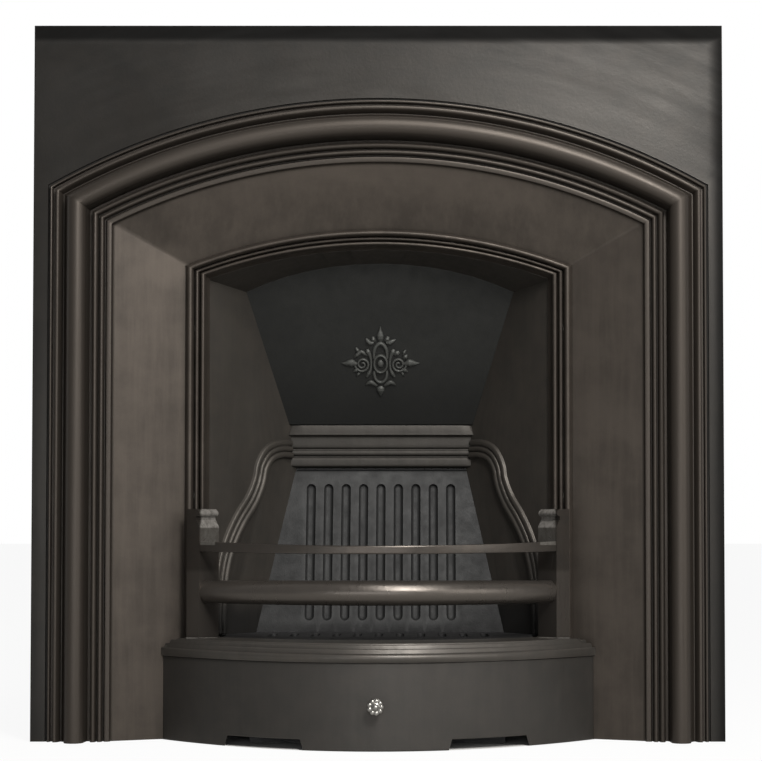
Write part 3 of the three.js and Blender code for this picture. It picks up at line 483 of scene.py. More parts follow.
def wear_and_painted_light_posts(finish, tint, worn_and_lit, metallic):
    """Greys the inner leg of each post and paints its cap lighter above the height given, partly wear and
    partly painted light.
    """
    outwards = finish.math("ABSOLUTE", finish.x)
    leg = finish.times(*(finish.step(outwards, *edge) for edge in POST_LEG))
    leg = finish.times(leg, finish.step(finish.z, worn_and_lit - 0.0235, worn_and_lit - 0.0225))
    cap = finish.times(leg, finish.step(finish.z, worn_and_lit - 0.001, worn_and_lit + 0.001))
    patchy = finish.remap(finish.noise(150, 4, 0.7), 0.38, 0.58, 0.3, 1)
    finish.link(finish.remap(leg, 0, 1, metallic, 0.3), finish.shader.inputs["Metallic"])
    # partly wear, partly painted light: the inner legs are painted grey and the caps pale
    tint = finish.mix(finish.times(leg, patchy), tint, (0.1, 0.095, 0.086))
    return finish.mix(finish.times(cap, patchy), tint, (0.24, 0.228, 0.212))


def black_lead(name, base, warm, bright, rough=0.42, metallic=0.6, streak=0.5, burnish=0.3, gritty=0.16,
               specular=0.5, lapped=None, dark_below=None, worn_and_lit=None, rubbed=None):
    """Cast iron rubbed with graphite polish: cloudy, brushed along its lines, burnished on its edges.

    Lapped is for the plate: it is brushed round its arch, its mouldings and splayed panels are rubbed, its
    panels are painted lighter round the crown as painted light, and its right and top margins get a painted
    shadow of the surround. Of the three heights after it: below the first the iron is painted near black as
    painted shade behind the bars; above the second the inner legs and caps of the posts are painted lighter,
    partly wear and partly painted light; below the third hands and fuel have polished the bars.
    """
    finish = Finish(name, metallic, specular)
    clouds = finish.noise(7, 3)
    mottle = finish.noise(38, 5, 0.6)
    brush = finish.noise(90, 4, 0.6, stretch=(1, 1, 0.07))
    grain = finish.noise(900, 2, 0.5)
    pits = finish.noise(240, 3, 0.7)
    if lapped:
        turn, radius = finish.round_arch()
        sweep = finish.noise(55, 4, 0.6, stretch=(0.14, 1, 1), over=finish.vector(turn, finish.y, radius))
        upper = finish.step(finish.z, *ARCH_BRUSHED_AND_LIT)
        lower = finish.math("SUBTRACT", 1, upper)
        brush = finish.math("ADD", finish.times(sweep, upper), finish.times(brush, lower))
    tint = finish.mix(finish.remap(mottle, 0.38, 0.64, 0, 1), base, warm)
    tint = finish.mix(finish.remap(clouds, 0.35, 0.7, 0, 0.45), tint, bright)
    tint = finish.mix(finish.remap(brush, 0.42, 0.75, 0, streak), tint, bright)
    dull = finish.remap(brush, 0.3, 0.7, rough + 0.05, rough - 0.05)
    dull = finish.math("ADD", dull, finish.remap(clouds, 0.3, 0.7, -0.02, 0.03))
    if lapped:
        tint, dull = lap_front(finish, tint, dull, lapped, clouds, brush)
    tint = finish.mix(finish.times(finish.edges(1), burnish), tint, shade(bright, 2.3))
    # painted shade: hollows and quirks are darkened by the stored edge mark
    tint = finish.mix(finish.times(finish.edges(-1), 0.55), tint, shade(base, 0.4))
    if worn_and_lit:
        tint = wear_and_painted_light_posts(finish, tint, worn_and_lit, metallic)
    if rubbed:
        low = finish.step(finish.z, rubbed + 0.004, rubbed - 0.004)
        tint = finish.mix(low, tint, shade(bright, 1.35))
        dull = finish.math("SUBTRACT", dull, finish.times(low, 0.04))
    # painted shade: below the height the iron is painted near black and made rougher
    if dark_below:
        below_mask = finish.below_mask(clouds, dark_below, 0.03, 0.012)
        tint = finish.mix(finish.times(below_mask, 0.88), tint, (0.008, 0.0078, 0.0075))
        dull = finish.math("ADD", dull, finish.times(below_mask, 0.25))
    dull = finish.math("SUBTRACT", dull, finish.times(finish.edges(1), 0.1))
    # painted shadow of the surround: the right and top margins are darkened and made rougher
    if lapped:
        side, top = finish.step(finish.x, *PAINTED_SHADOW_SIDE), finish.step(finish.z, *PAINTED_SHADOW_TOP)
        margin = finish.math("MAXIMUM", side, top)
        tint = finish.mix(finish.times(margin, 0.92), tint, shade(base, 0.15))
        dull = finish.math("ADD", dull, finish.times(margin, 0.4))
    finish.colour(tint)
    finish.roughness(dull)
    finish.bump([(pits, gritty), (brush, 0.03), (grain, 0.05)], 0.6)
    return finish.material


def rough_iron(name, base, pale, rough=0.62, metallic=0.4, burnish=0.3, specular=0.5, hollow_shade=0.6, gritty=0.3,
               dark_below=None, relief=None):
    """Bare iron of the fire chamber, sand-cast and dry, much darker below the height given.

    Relief is a point and the inward normal of a plane: what stands proud of it is painted brighter, partly
    rubbed wear and partly painted highlight, and the flap is painted darker towards its foot as painted
    shade.
    """
    finish = Finish(name, metallic, specular)
    clouds = finish.noise(9, 4)
    mottle = finish.noise(60, 6, 0.65)
    pits = finish.noise(420, 4, 0.7)
    tint = finish.mix(finish.remap(clouds, 0.35, 0.68, 0, 1), base, pale)
    tint = finish.mix(finish.remap(mottle, 0.42, 0.72, 0, 0.6), tint, shade(base, 0.7))
    tint = finish.mix(finish.times(finish.edges(1), burnish), tint, shade(pale, 1.9))
    # painted shade: hollows are darkened by the stored edge mark
    if hollow_shade:
        tint = finish.mix(finish.times(finish.edges(-1), hollow_shade), tint, shade(base, 0.4))
    if relief:
        point, inward = relief
        parts = ((finish.y, point[1], inward.y), (finish.z, point[2], inward.z))
        behind = finish.math("ADD", *(finish.times(finish.math("SUBTRACT", axis, at), share)
                                      for axis, at, share in parts))
        # partly rubbed wear, partly painted highlight: the relief is painted brighter
        tint = finish.mix(finish.step(behind, -0.0002, -0.0026), tint, shade(pale, 4.2))
        # painted shade: the flap is painted darker towards its foot
        tint = finish.mix(finish.times(finish.step(finish.z, 0.56, 0.44), 0.45), tint, shade(base, 0.4))
    # the iron is painted much darker below the height given
    if dark_below:
        below_mask = finish.below_mask(clouds, dark_below, 0.008, 0.006)
        tint = finish.mix(finish.times(below_mask, 0.85), tint, (0.008, 0.008, 0.0084))
    finish.colour(tint)
    finish.roughness(finish.remap(mottle, 0.3, 0.7, rough - 0.07, rough + 0.1))
    finish.bump([(pits, gritty), (mottle, 0.25)], 0.6)
    return finish.material


def bright_steel(name, base, rough):
    """Turned or polished steel with fine marks."""
    finish = Finish(name, 1.0)
    marks = finish.noise(350, 4, 0.6)
    clouds = finish.noise(60, 3)
    tint = finish.mix(finish.remap(clouds, 0.3, 0.7, 0, 1), base, shade(base, 0.72))
    # painted shade: the hollows of the steel are darkened
    tint = finish.mix(finish.times(finish.edges(-1), 0.8), tint, shade(base, 0.25))
    finish.colour(tint)
    finish.roughness(finish.remap(marks, 0.3, 0.7, rough - 0.05, rough + 0.1))
    finish.bump([(marks, 0.06)], 0.5)
    return finish.material


UP_FLAP = Vector((0, FLAP_CORNER_Y - FLAP_FOOT_Y, FLAP_CORNER_Z - FLAP_FOOT_Z)).normalized()
BEHIND_FLAP = Vector((0, UP_FLAP.z, -UP_FLAP.y))

FRAME_IRON = black_lead(
    "frame_black_lead", (0.0118, 0.0113, 0.0104), (0.0158, 0.0142, 0.0126), (0.024, 0.0222, 0.02),
    specular=0.36, lapped=(0.058, 0.0485, 0.0405))
COVER_IRON = black_lead(
    "cover_black_lead", (0.036, 0.034, 0.031), (0.044, 0.040, 0.036), (0.054, 0.050, 0.046),
    rough=0.5, streak=0.25)
# painted shade: the cheeks are painted near black below 185 mm, behind the bars
CHEEK_IRON = black_lead(
    "cheek_black_lead", (0.046, 0.042, 0.037), (0.058, 0.051, 0.044), (0.066, 0.060, 0.052),
    rough=0.5, burnish=0.15, dark_below=0.185)
LEDGE_IRON = black_lead(
    "ledge_black_lead", (0.026, 0.0238, 0.021), (0.032, 0.0286, 0.025), (0.036, 0.033, 0.029),
    rough=0.55, burnish=0.2, gritty=0.4)
BAR_IRON = black_lead(
    "bar_black_lead", (0.047, 0.042, 0.037), (0.057, 0.048, 0.041), (0.070, 0.062, 0.055),
    rough=0.35, metallic=0.75, streak=0.2, gritty=0.3, worn_and_lit=0.2858, rubbed=0.228)
RAIL_IRON = black_lead(
    "rail_black_lead", (0.052, 0.048, 0.043), (0.062, 0.055, 0.048), (0.078, 0.072, 0.065), rough=0.4)
FIRE_IRON = rough_iron(
    "fire_iron", (0.0145, 0.0149, 0.0153), (0.0235, 0.0239, 0.0239), hollow_shade=0, gritty=0.6, dark_below=0.152)
GRATE_IRON = rough_iron("grate_iron", (0.02, 0.02, 0.0205), (0.031, 0.031, 0.0315), burnish=0)
FLAP_IRON = rough_iron(
    "flap_iron", (0.011, 0.0115, 0.011), (0.016, 0.0165, 0.0155), rough=0.5, specular=0.3,
    relief=(place(0, FLAP_FOOT_Y, FLAP_FOOT_Z), BEHIND_FLAP))
PAN_STEEL = rough_iron("pan_steel", (0.016, 0.016, 0.017), (0.022, 0.022, 0.023), rough=0.5)
BOLT_STEEL = bright_steel("bolt_steel", (0.16, 0.15, 0.135), 0.42)
KNOB_STEEL = bright_steel("polished_steel", (0.36, 0.35, 0.33), 0.3)


# ---------------------------------------------------------------- the moulded front
def arch_line(arch, y, steps):
    """Points up one side of an arch from the hearth, over the crown and down again."""
    half, radius = arch
    spring = math.asin(half / radius)
    points = [(-half, y, 0)]
    for i in range(steps + 1):
        angle = spring * (2 * i / steps - 1)
        points.append((radius * math.sin(angle), y, ARCH_CENTRE_Z + radius * math.cos(angle)))
    points.append((half, y, 0))
    return points


def plate_line(inset, y, steps):
    """The same number of points round the rectangular edge of the plate."""
    half = PLATE_HALF - inset
    top = PLATE_TOP - inset
    half_out, radius_out = MOULD_OUT
    spring_z = ARCH_CENTRE_Z + math.sqrt(radius_out ** 2 - half_out ** 2)
    corner = steps // 8
    points = [(-half, y, 0)]
    for i in range(steps + 1):
        if i <= corner:
            points.append((-half, y, spring_z + (top - spring_z) * i / corner))
        elif i >= steps - corner:
            points.append((half, y, spring_z + (top - spring_z) * (steps - i) / corner))
        else:
            share = (i - corner) / (steps - 2 * corner)
            points.append((half * (2 * share - 1), y, top))
    points.append((half, y, 0))
    return points


def across(outer, inner, inset):
    """The arch that lies so far in from the outer one, on the way to the inner one."""
    share = inset / (outer[0] - inner[0])
    return tuple(a + (b - a) * share for a, b in zip(outer, inner))


def bead(start, end, foot, crown, steps=8):
    """A rounded reed between two insets, as (inset, y) points: foot is its base and crown its top."""
    middle, half, fullness = (start + end) / 2, (end - start) / 2, 0.7
    return [(middle - half * c, foot + (crown - foot) * max(0.0, s) ** fullness)
            for c, s in half_circle(steps)]


def outer_moulding():
    """Quirk, small bead, a broad fillet falling into a valley, the great torus and three stepped reeds."""
    torus = [(TORUS_AT - TORUS_RADIUS * c, TORUS_RADIUS - TORUS_PROUD - TORUS_RADIUS * s)
             for c, s in half_circle(28)]
    return [
        (-3.4, 0), (-2.9, 0.6), (-2.4, 1.8), (-1.2, 2), (-0.7, 1),
        *bead(-0.4, 3.9, -0.6, -4.8, 6), (4.3, 1.8), (6.6, 2),
        (8.1, -2.4), (8.4, -7.4), (9, -8.9), (10.2, -9.4), (11.6, -9.3), (12.8, -8.7), (13.8, -7.6),
        (14.8, -6), (15.8, -4), (16.7, -1.4), (17.5, 0.8), (18.9, 0.8), (20.2, -0.8), (22.2, -3),
        (24.2, -5.4), (24.6, -6),
        *torus, (51.1, -6), (51.8, 1.4), (53, 5.4), (56.2, 5.6), (57.1, 2),
        *bead(57.6, 65, -1.6, -8.2), (65.5, 1.6), (66.5, 1.8),
        *bead(67, 73, -0.4, -5.4), (73.5, 4.2), (74.4, 4.4),
        (75.4, 2.6), (75.8, 0.4), (76.6, -0.8), (78, -1.2), (81, -0.8), (82.6, -0.1), (83.2, 1.6),
        (83.7, 6.4), (84.6, 7.6), (86.2, 8.5),
    ]


def inner_moulding():
    """Three reeds with deep quirks between them, the middle one set back, round the mouth of the chamber."""
    return [
        (-0.8, PANEL_Y_IN - 0.35), (0, PANEL_Y_IN - 0.1), (0.6, PANEL_Y_IN - 0.9),
        (1.8, 45.4), (2.9, 43.2), (3.9, 41.6), (5, 40.6), (6.2, 40.1), (7.6, 40.1), (8.8, 40.5), (9.8, 41.4),
        (10.6, 43), (11.1, 45.4),
        (11.5, 50), (11.9, 55.4), (12.4, 55.4),
        *bead(12.9, 18.8, 53.6, 47.6), (19.3, 55.4), (20.3, 56.4),
        *bead(20.8, 27.6, 52, 44.6), (28, 53.6), (28.8, 57), (30, 60.4), (31.2, 62.6), (32, 64),
    ]


def frame_lines(steps):
    """Every line of the frame's section, once round: the front from the rim inwards, and back behind it."""
    lines = [plate_line(inset, y, steps) for inset, y in (
        (0, RIM_DEPTH - 0.8), (0, 1.6), (0, 1), (0.3, 0.3), (1, 0), (2, 0))]
    lines += [arch_line(across(MOULD_FROM, MOULD_TO, inset), y, steps) for inset, y in outer_moulding()]
    lines += [arch_line(across(PANEL_IN, OPENING, inset), y, steps) for inset, y in inner_moulding()]
    torus_back = TORUS_RADIUS - TORUS_PROUD - TORUS_RADIUS / 2
    width = PANEL_IN[0] - OPENING[0]
    band = MOULD_OUT[0] - MOULD_IN[0]
    lines += [arch_line(across(PANEL_IN, OPENING, inset), y, steps) for inset, y in (
        (width, FRAME_BACK_Y - 0.4), (width - 0.4, FRAME_BACK_Y), (-3.5, FRAME_BACK_Y),
        (-4, FRAME_BACK_Y - 0.5), (-4, PANEL_Y_IN + PANEL_WALL - 1.5))]
    lines += [arch_line(across(MOULD_OUT, MOULD_IN, inset), y, steps) for inset, y in (
        (band, PANEL_Y_OUT + PANEL_WALL), (62, 9), (52, 7), (TORUS_AT + 7, torus_back),
        (TORUS_AT - 7, torus_back), (23, 7), (6, PLATE_THICK + 1), (0, PLATE_THICK))]
    lines += [plate_line(PLATE_THICK, PLATE_THICK, steps), plate_line(PLATE_THICK, RIM_DEPTH - 0.8, steps),
              plate_line(PLATE_THICK - 0.8, RIM_DEPTH, steps), plate_line(0.8, RIM_DEPTH, steps)]
    return lines


def cylinder(shell, radius, y0, y1, x, z, sides=24, chamfer=0.8):
    """A short round boss along y with one softened end."""
    shell.loft([[(x + r * c, y, z + r * s) for c, s in circle(sides)]
                for y, r in ((y0, radius), (y1 - chamfer, radius), (y1, radius - chamfer))])


def front_frame():
    """The plate with its mouldings and panels, two bosses for the rail and two drilled lugs behind."""
    shell = Shell().loft([list(section) for section in zip(*frame_lines(steps=96))])
    boss_x, boss_z = 277, (RAIL_BOTTOM + GRATE_TOP) / 2
    lug_out, lug_z = PLATE_HALF - PLATE_THICK + 1, PLATE_TOP - 130
    for side in (-1, 1):
        cylinder(shell, 12, 46, 62, side * boss_x, boss_z)
    frame_piece = shell.piece("arched_frame", crease=28)
    lugs = []
    for side in (-1, 1):
        x0, x1 = sorted((side * (lug_out - 30), side * lug_out))
        tab = Shell().block(x0, x1, RIM_DEPTH - 7, RIM_DEPTH, lug_z - 18, lug_z + 18).piece("lug")
        drill = Shell()
        cylinder(drill, 5, RIM_DEPTH - 10, RIM_DEPTH + 3, side * (lug_out - 17), lug_z)
        lugs.append(soften(combine(tab, [drill.piece("drill")], "DIFFERENCE"), 0.6))
    return finish_piece(absorb(frame_piece, lugs), "insert", "black_lead", FRAME_IRON, "front_frame")


# ---------------------------------------------------------------- the cheeks and their falling moulding
def cheek_half(y):
    """Half the width between the cheeks at a depth."""
    return CHEEK_START_HALF - CHEEK_RUN / CHEEK_DEEP * (y - FRAME_BACK_Y)


def on_cheek(s, z, t):
    """A point of the right cheek: s back along it, z up, t outwards from its face."""
    return (CHEEK_START_HALF - CHEEK_RUN * s + CHEEK_DEEP * t,
            FRAME_BACK_Y + CHEEK_DEEP * s + CHEEK_RUN * t, z)


SERPENTINE = [                    # back along the cheek and up, from the ledge down to the bars
    (176, 400), (150, 399), (127, 391), (112, 373), (106, 352), (92, 327), (68, 300),
    (49, 273), (36, 245), (28, 213), (25, 180), (24, 140),
]


def smooth_path(points, per_span=8):
    """A centripetal Catmull-Rom curve through the points, as (position, direction) pairs."""
    knots = [Vector(p) for p in points]
    knots = [2 * knots[0] - knots[1]] + knots + [2 * knots[-1] - knots[-2]]
    path = []
    for k in range(1, len(knots) - 2):
        p0, p1, p2, p3 = knots[k - 1:k + 3]
        d1, d2, d3 = (max((b - a).length, 1e-6) ** 0.5 for a, b in ((p0, p1), (p1, p2), (p2, p3)))
        m1 = (p2 - p1) + d2 * ((p1 - p0) / d1 - (p2 - p0) / (d1 + d2))
        m2 = (p2 - p1) + d2 * ((p3 - p2) / d3 - (p3 - p1) / (d2 + d3))
        last = per_span + (1 if k == len(knots) - 3 else 0)
        for i in range(last):
            u = i / per_span
            here = ((2 * u ** 3 - 3 * u ** 2 + 1) * p1 + (u ** 3 - 2 * u ** 2 + u) * m1
                    + (3 * u ** 2 - 2 * u ** 3) * p2 + (u ** 3 - u ** 2) * m2)
            slope = ((6 * u ** 2 - 6 * u) * p1 + (3 * u ** 2 - 4 * u + 1) * m1
                     + (6 * u - 6 * u ** 2) * p2 + (3 * u ** 2 - 2 * u) * m2)
            path.append((here, slope.normalized()))
    return path


def serpentine():
    """Three reeds with quirks between, falling in an ogee from the ledge to behind the bars."""
    section = [(-14.4, 1), (-14, -2), *bead(-13.4, -5.6, -2.6, -5.7), (-4.9, -1),
               *bead(-4.2, 2.8, -2, -5.1), (3.5, -0.8),
               *bead(4.2, 12.2, -1.4, -4.4), (13, -0.6), (13.4, 1)]
    return Shell().loft([[on_cheek(p.x + aside * d.y, p.y - aside * d.x, proud) for aside, proud in section]
                         for p, d in smooth_path(SERPENTINE)])


def soffit_edge(y):
    """How high the side edge of the soffit runs at a depth."""
    front = ARCH_CENTRE_Z + math.sqrt(OPENING[1] ** 2 - CHEEK_START_HALF ** 2)
    return front + (FLAP_CORNER_Z - front) * (y - FRAME_BACK_Y) / (FLAP_CORNER_Y - FRAME_BACK_Y)


def shoulder(shell):
    """The thin shoulder on top of a cheek that the soffit beds on."""
    corners = [(0.15, 3), (7.8, 3), (7.8, 0.1), (0.15, 0.1)]
    rings = [[on_cheek(s, 0, t) for t, _ in corners] for s in (0.5, 25, 50, 74)]
    shell.loft([[(x, y, soffit_edge(y) - under) for (x, y, _), (_, under) in zip(ring, corners)]
                for ring in rings])


def cheek(side):
    """The left or right side of the chamber, with its falling moulding."""
    hand = "right" if side > 0 else "left"
    shell = serpentine()
    shoulder(shell)
    shell.vertices = [(side * x, y, z) for x, y, z in shell.vertices]
    piece = cad_copy(f"{hand}_cheek", f"{hand}_side_cheek")
    absorb(piece, [shell.piece("serpentine", crease=45)])
    return finish_piece(piece, "insert", "black_lead", CHEEK_IRON, f"{hand}_cheek")


# ---------------------------------------------------------------- fireback and ledge
def fireback():
    """The leaning back plate with its row of round-ended flutes, and the upright foot under it."""
    lean = (BACK_TOP_Y - BACK_FOOT_Y) / (BACK_TOP_Z - BACK_KNEE_Z)
    foot = cheek_half(BACK_FOOT_Y) + BACK_LAP
    head = cheek_half(BACK_TOP_Y) + BACK_LAP
    radius = FLUTE_WIDTH / 2
    steps = 10
    flute = [(0.9, 0), (0.5, 0.1), (0.2, 0.5), (0, 1.4), (-0.5, 3), (-1.3, 4.4), (-2.5, 5.4), (-3.8, 5.9),
             (-4.8, 6)]

    def half_at(z):
        return foot + (head - foot) * (z - BACK_KNEE_Z) / (BACK_TOP_Z - BACK_KNEE_Z)

    def on_back(x, z, deep=0.0):
        return (x, BACK_FOOT_Y + lean * (z - BACK_KNEE_Z) + deep, z)

    low = FLUTE_FOOT_Z + radius
    high = FLUTE_HEAD_Z - radius
    face_top = BACK_TOP_Z - BACK_CHAMFER
    shell = Shell()
    for k in range(FLUTE_COUNT):
        centre = (k - (FLUTE_COUNT - 1) / 2) * FLUTE_PITCH
        left, right = centre - FLUTE_PITCH / 2, centre + FLUTE_PITCH / 2
        loops = [[on_back(right + (left - right) * i / steps, face_top) for i in range(steps + 1)]
                 + [on_back(left + (right - left) * i / steps, BACK_KNEE_Z) for i in range(steps + 1)]]
        for out, deep in flute:
            r = radius + out
            loops.append([on_back(centre + sign * r * c, end + sign * r * s, deep)
                          for sign, end in ((1, high), (-1, low)) for c, s in half_circle(steps)])
        shell.skin(loops, len(flute))
        end = len(shell.vertices)
        shell.faces.append(tuple(range(end - len(loops[0]), end)))
    edge_x = FLUTE_COUNT * FLUTE_PITCH / 2
    for side in (-1, 1):
        start = len(shell.vertices)
        shell.vertices += [
            on_back(side * edge_x, BACK_KNEE_Z), on_back(side * half_at(BACK_KNEE_Z), BACK_KNEE_Z),
            on_back(side * half_at(face_top), face_top), on_back(side * edge_x, face_top)]
        shell.faces.append(tuple(range(start, start + 4)))
    t = BACK_THICK
    knee_back = BACK_KNEE_Z - t / 3
    between = [-edge_x + FLUTE_PITCH * i / steps for i in range(FLUTE_COUNT * steps + 1)]
    xs, uppers, tops = ([-half, *between, half] for half in (half_at(BACK_KNEE_Z), half_at(face_top), head))
    rows = [
        [on_back(x, face_top) for x in uppers],
        [on_back(x, face_top + 0.6, 0.5) for x in uppers],
        [(x, BACK_TOP_Y + BACK_CHAMFER, BACK_TOP_Z) for x in tops],
        [(x, BACK_TOP_Y + t, BACK_TOP_Z) for x in tops],
        [(x, BACK_FOOT_Y + t, knee_back) for x in xs],
        [(x, BACK_FOOT_Y + t, 0) for x in xs],
        [(x, BACK_FOOT_Y, 0) for x in xs],
        [(x, BACK_FOOT_Y, BACK_KNEE_Z) for x in xs],
    ]
    start, count = len(shell.vertices), len(xs)
    for row in rows:
        shell.vertices += row
    for i in range(len(rows) - 1):
        for j in range(count - 1):
            a = start + i * count + j
            shell.faces.append((a, a + 1, a + 1 + count, a + count))
    for j in (0, count - 1):
        shell.faces.append(tuple(start + i * count + j for i in range(len(rows))))
    piece = shell.piece("fluted_fireback", crease=30)
    return finish_piece(piece, "insert", "fire_iron", FIRE_IRON, "fireback")


def ledge():
    """The small cornice under the flap: leaning fascia, drip, frieze and reeds stepping back."""
    top = FLAP_FOOT_Z - GAP
    foot = BACK_TOP_Z + GAP
    fascia = [(205.4, top), (203.6, top - 0.3), (202.9, top - 1.2), (202.3, 421.4), (202.1, 420.2),
              (202.7, 419.2), (204, 418.8)]
    reed = [(209.8 - 2.4 * s ** 0.7, 393.8 + 3.6 * c) for c, s in half_circle(10)]
    profile = [
        (LEDGE_BACK_Y - 1, top), *fascia,
        (206.4, 418.5), (207.3, 417.6), (207.8, 416), (208, 414), (207.6, 406), (207.9, 402.4), (208.6, 401),
        (209.8, 400.3), (210.4, 399.4), (210.2, 398.4), (209.6, 397.6), *reed,
        (210.8, 389.4), (211, 388.4), (210.8, 387.6), (209.4, 387), (208.4, 386), (207.9, 384.4),
        (207.8, 378), (208.1, 375.6), (208.8, 374.4), (210, 373.9), (214, 373.6), (217, foot + 1),
        (218.4, foot), (LEDGE_BACK_Y - 1, foot),
    ]
    rows = []
    for share in (-1, -0.99, *[i / 6 - 1 for i in range(1, 12)], 0.99, 1):
        row = []
        for y, z in profile:
            rise = max(0.0, (z - 418) / 16) if (y, z) in fascia else 0.0    # the fascia is hipped at its ends
            hip = share * (1 - 0.045 * rise) if abs(share) == 0.99 else share
            row.append((hip * (cheek_half(min(y, 222)) - GAP), y + (7 * rise if abs(share) == 1 else 0), z))
        rows.append(row)
    shell = Shell().loft(rows)
    shell.block(-159.8, 159.8, LEDGE_FLANGE_Y + 0.3, LEDGE_BACK_Y - 0.5, foot + 0.2, top + LEDGE_LIP - 0.2)
    piece = shell.piece("moulded_ledge", crease=40)
    lugs = cad_copy("fireback_ledge", "ledge_lugs")
    lug_from = 0.145
    work = bmesh.new()
    work.from_mesh(lugs.data)
    bmesh.ops.delete(work, geom=[v for v in work.verts if abs(v.co.x) < lug_from], context="VERTS")
    bmesh.ops.holes_fill(work, edges=work.edges)
    work.to_mesh(lugs.data)
    work.free()
    return finish_piece(absorb(piece, [lugs]), "insert", "black_lead", LEDGE_IRON, "fireback_ledge")


# ---------------------------------------------------------------- bowed pieces
def bow_y(bow, x):
    half, front, end = bow
    return front + (end - front) * (x / half) ** 2


def blend_bow(a, b, share):
    return tuple(p + (q - p) * share for p, q in zip(a, b))


def panel_y(x):
    """Depth of the splayed panel, less the clearance, at a distance from the centre line."""
    lean = (PANEL_Y_IN - PANEL_Y_OUT) / (MOULD_IN[0] - PANEL_IN[0])
    return PANEL_Y_OUT + lean * (MOULD_IN[0] - abs(x)) - PANEL_CLEAR


def panel_reach(bow):
    """Where a bowed line meets the splayed panel."""
    low, high = 100.0, 340.0
    for _ in range(40):
        middle = (low + high) / 2
        if bow_y(bow, middle) < panel_y(middle):
            low = middle
        else:
            high = middle
    return min(low, bow[0] * 1.02)


def bow_rows(section, ends, columns=64):
    """Rings of a bowed moulding from a section of (bow, z), each line running out to its own end."""
    return [[(end * (2 * i / columns - 1), bow_y(bow, end * (2 * i / columns - 1)), z)
             for (bow, z), end in zip(section, ends)] for i in range(columns + 1)]


def front_rail():
    """The lip under the bars: a shelf and three reeds stepping out to a rounded nosing."""
    shelf_bottom = GRATE_TOP - 12 - GAP
    steps = [(0, 137.2), (0.1, 136.8), (0.13, 136.4), (0.155, 135.4), (0.17, 134.2), (0.19, 133.6),
             (0.24, 134.4), (0.33, 135.3), (0.38, 134.8), (0.41, 133.4), (0.43, 130.8), (0.45, 129.8),
             (0.5, 130), (0.58, 130.2), (0.63, 129.4), (0.66, 127.6), (0.68, 125.4), (0.71, 124.2),
             (0.77, 124.2), (0.85, 124), (0.93, 123.2), (0.98, 121.6), (1, 119.4), (0.995, 117.4),
             (0.97, 115.4), (0.93, 114), (0.9, RAIL_BOTTOM)]
    section = [(RAIL_FLANGE, RAIL_BOTTOM), (RAIL_FLANGE, shelf_bottom), (RAIL_INNER, shelf_bottom),
               (RAIL_INNER, GRATE_TOP - 0.6), (blend_bow(RAIL_INNER, RAIL_SHELF, 0.03), GRATE_TOP)]
    ends = [bow[0] for bow, _ in section]
    section += [(blend_bow(RAIL_SHELF, RAIL_NOSE, share), z) for share, z in steps]
    ends += [panel_reach(bow) for bow, _ in section[len(ends):]]
    shell = Shell().loft(bow_rows(section, ends))
    x0, x1, y0 = POST_INNER.x - 2, POST_OUTER.x - 1, POST_ARRIS.y + 3
    for side in (-1, 1):
        a, b = sorted((side * x0, side * x1))
        shell.block(a, b, y0, 38.5, RAIL_BOTTOM, GRATE_TOP)
    piece = shell.piece("moulded_rail", crease=50)
    return finish_piece(piece, "insert", "black_lead", RAIL_IRON, "front_rail")


def ash_cover():
    """The bowed cover of the ash pit, with an air notch in its foot on each side."""
    inner = (COVER_FACE[0] - COVER_THICK, COVER_FACE[1] + COVER_THICK, COVER_FACE[2] + COVER_THICK)
    reach = panel_reach(COVER_FACE)
    slant = 4
    notch = [(NOTCH_IN - slant, 0), (NOTCH_IN, NOTCH_TALL), (NOTCH_OUT, NOTCH_TALL), (NOTCH_OUT + slant, 0)]
    columns = [(x, 0) for x in (0, 6, 12, 24, 36, 48, 60, 72, 84, 91)] + notch[:1]
    columns += [(NOTCH_IN - slant * 0.1, NOTCH_TALL * 0.9)] + notch[1:2]
    columns += [(NOTCH_IN + (NOTCH_OUT - NOTCH_IN) * i / 10, NOTCH_TALL) for i in range(1, 10)] + notch[2:3]
    columns += [(NOTCH_OUT + slant * 0.1, NOTCH_TALL * 0.9)] + notch[3:]
    columns += [(NOTCH_OUT + slant + (reach - 2.4 - NOTCH_OUT - slant) * i / 8, 0) for i in range(1, 9)]
    columns += [(reach - 1.2, 0), (reach - 0.35, 0), (reach, 0)]
    rings = []
    for x, foot in [(-x, foot) for x, foot in reversed(columns[1:])] + columns:
        ends = max(0.0, abs(x) - (reach - 1.3)) / 1.3
        pull = 1 - math.sqrt(max(0.0, 1 - ends ** 2))      # rounds the two upright edges
        top = COVER_TOP - 1.2 * pull
        face, back = 1 - 0.3 * pull, 0.06 * pull
        levels = [(back, foot + 1), (back, 30), (back, 60), (back, 90), (back, top - 1), (back + 0.1, top),
                  (0.8 * face, top), (0.95 * face, top - 0.35), (face, top - 1.3), (face, top - 2.2),
                  (face, 90), (face, 60), (face, 30), (face, foot + 1.8), (face, foot + 1),
                  (0.95 * face, foot + 0.3), (0.85 * face, foot), (back + 0.1, foot)]
        rings.append([(x, bow_y(blend_bow(inner, COVER_FACE, share), x), z) for share, z in levels])
    piece = Shell().loft(rings).piece("bowed_ash_cover")
    return finish_piece(piece, "cover", "black_lead", COVER_IRON, "ashpan_cover")


# ---------------------------------------------------------------- fire bars
def post_corner(behind_outer, behind_inner):
    """A corner of the post so far behind the face of each leg."""
    outer = (POST_OUTER - POST_ARRIS).normalized()
    inner = (POST_INNER - POST_ARRIS).normalized()
    spread = outer.x * inner.y - outer.y * inner.x
    return POST_ARRIS + inner * (behind_outer / spread) + outer * (behind_inner / spread)


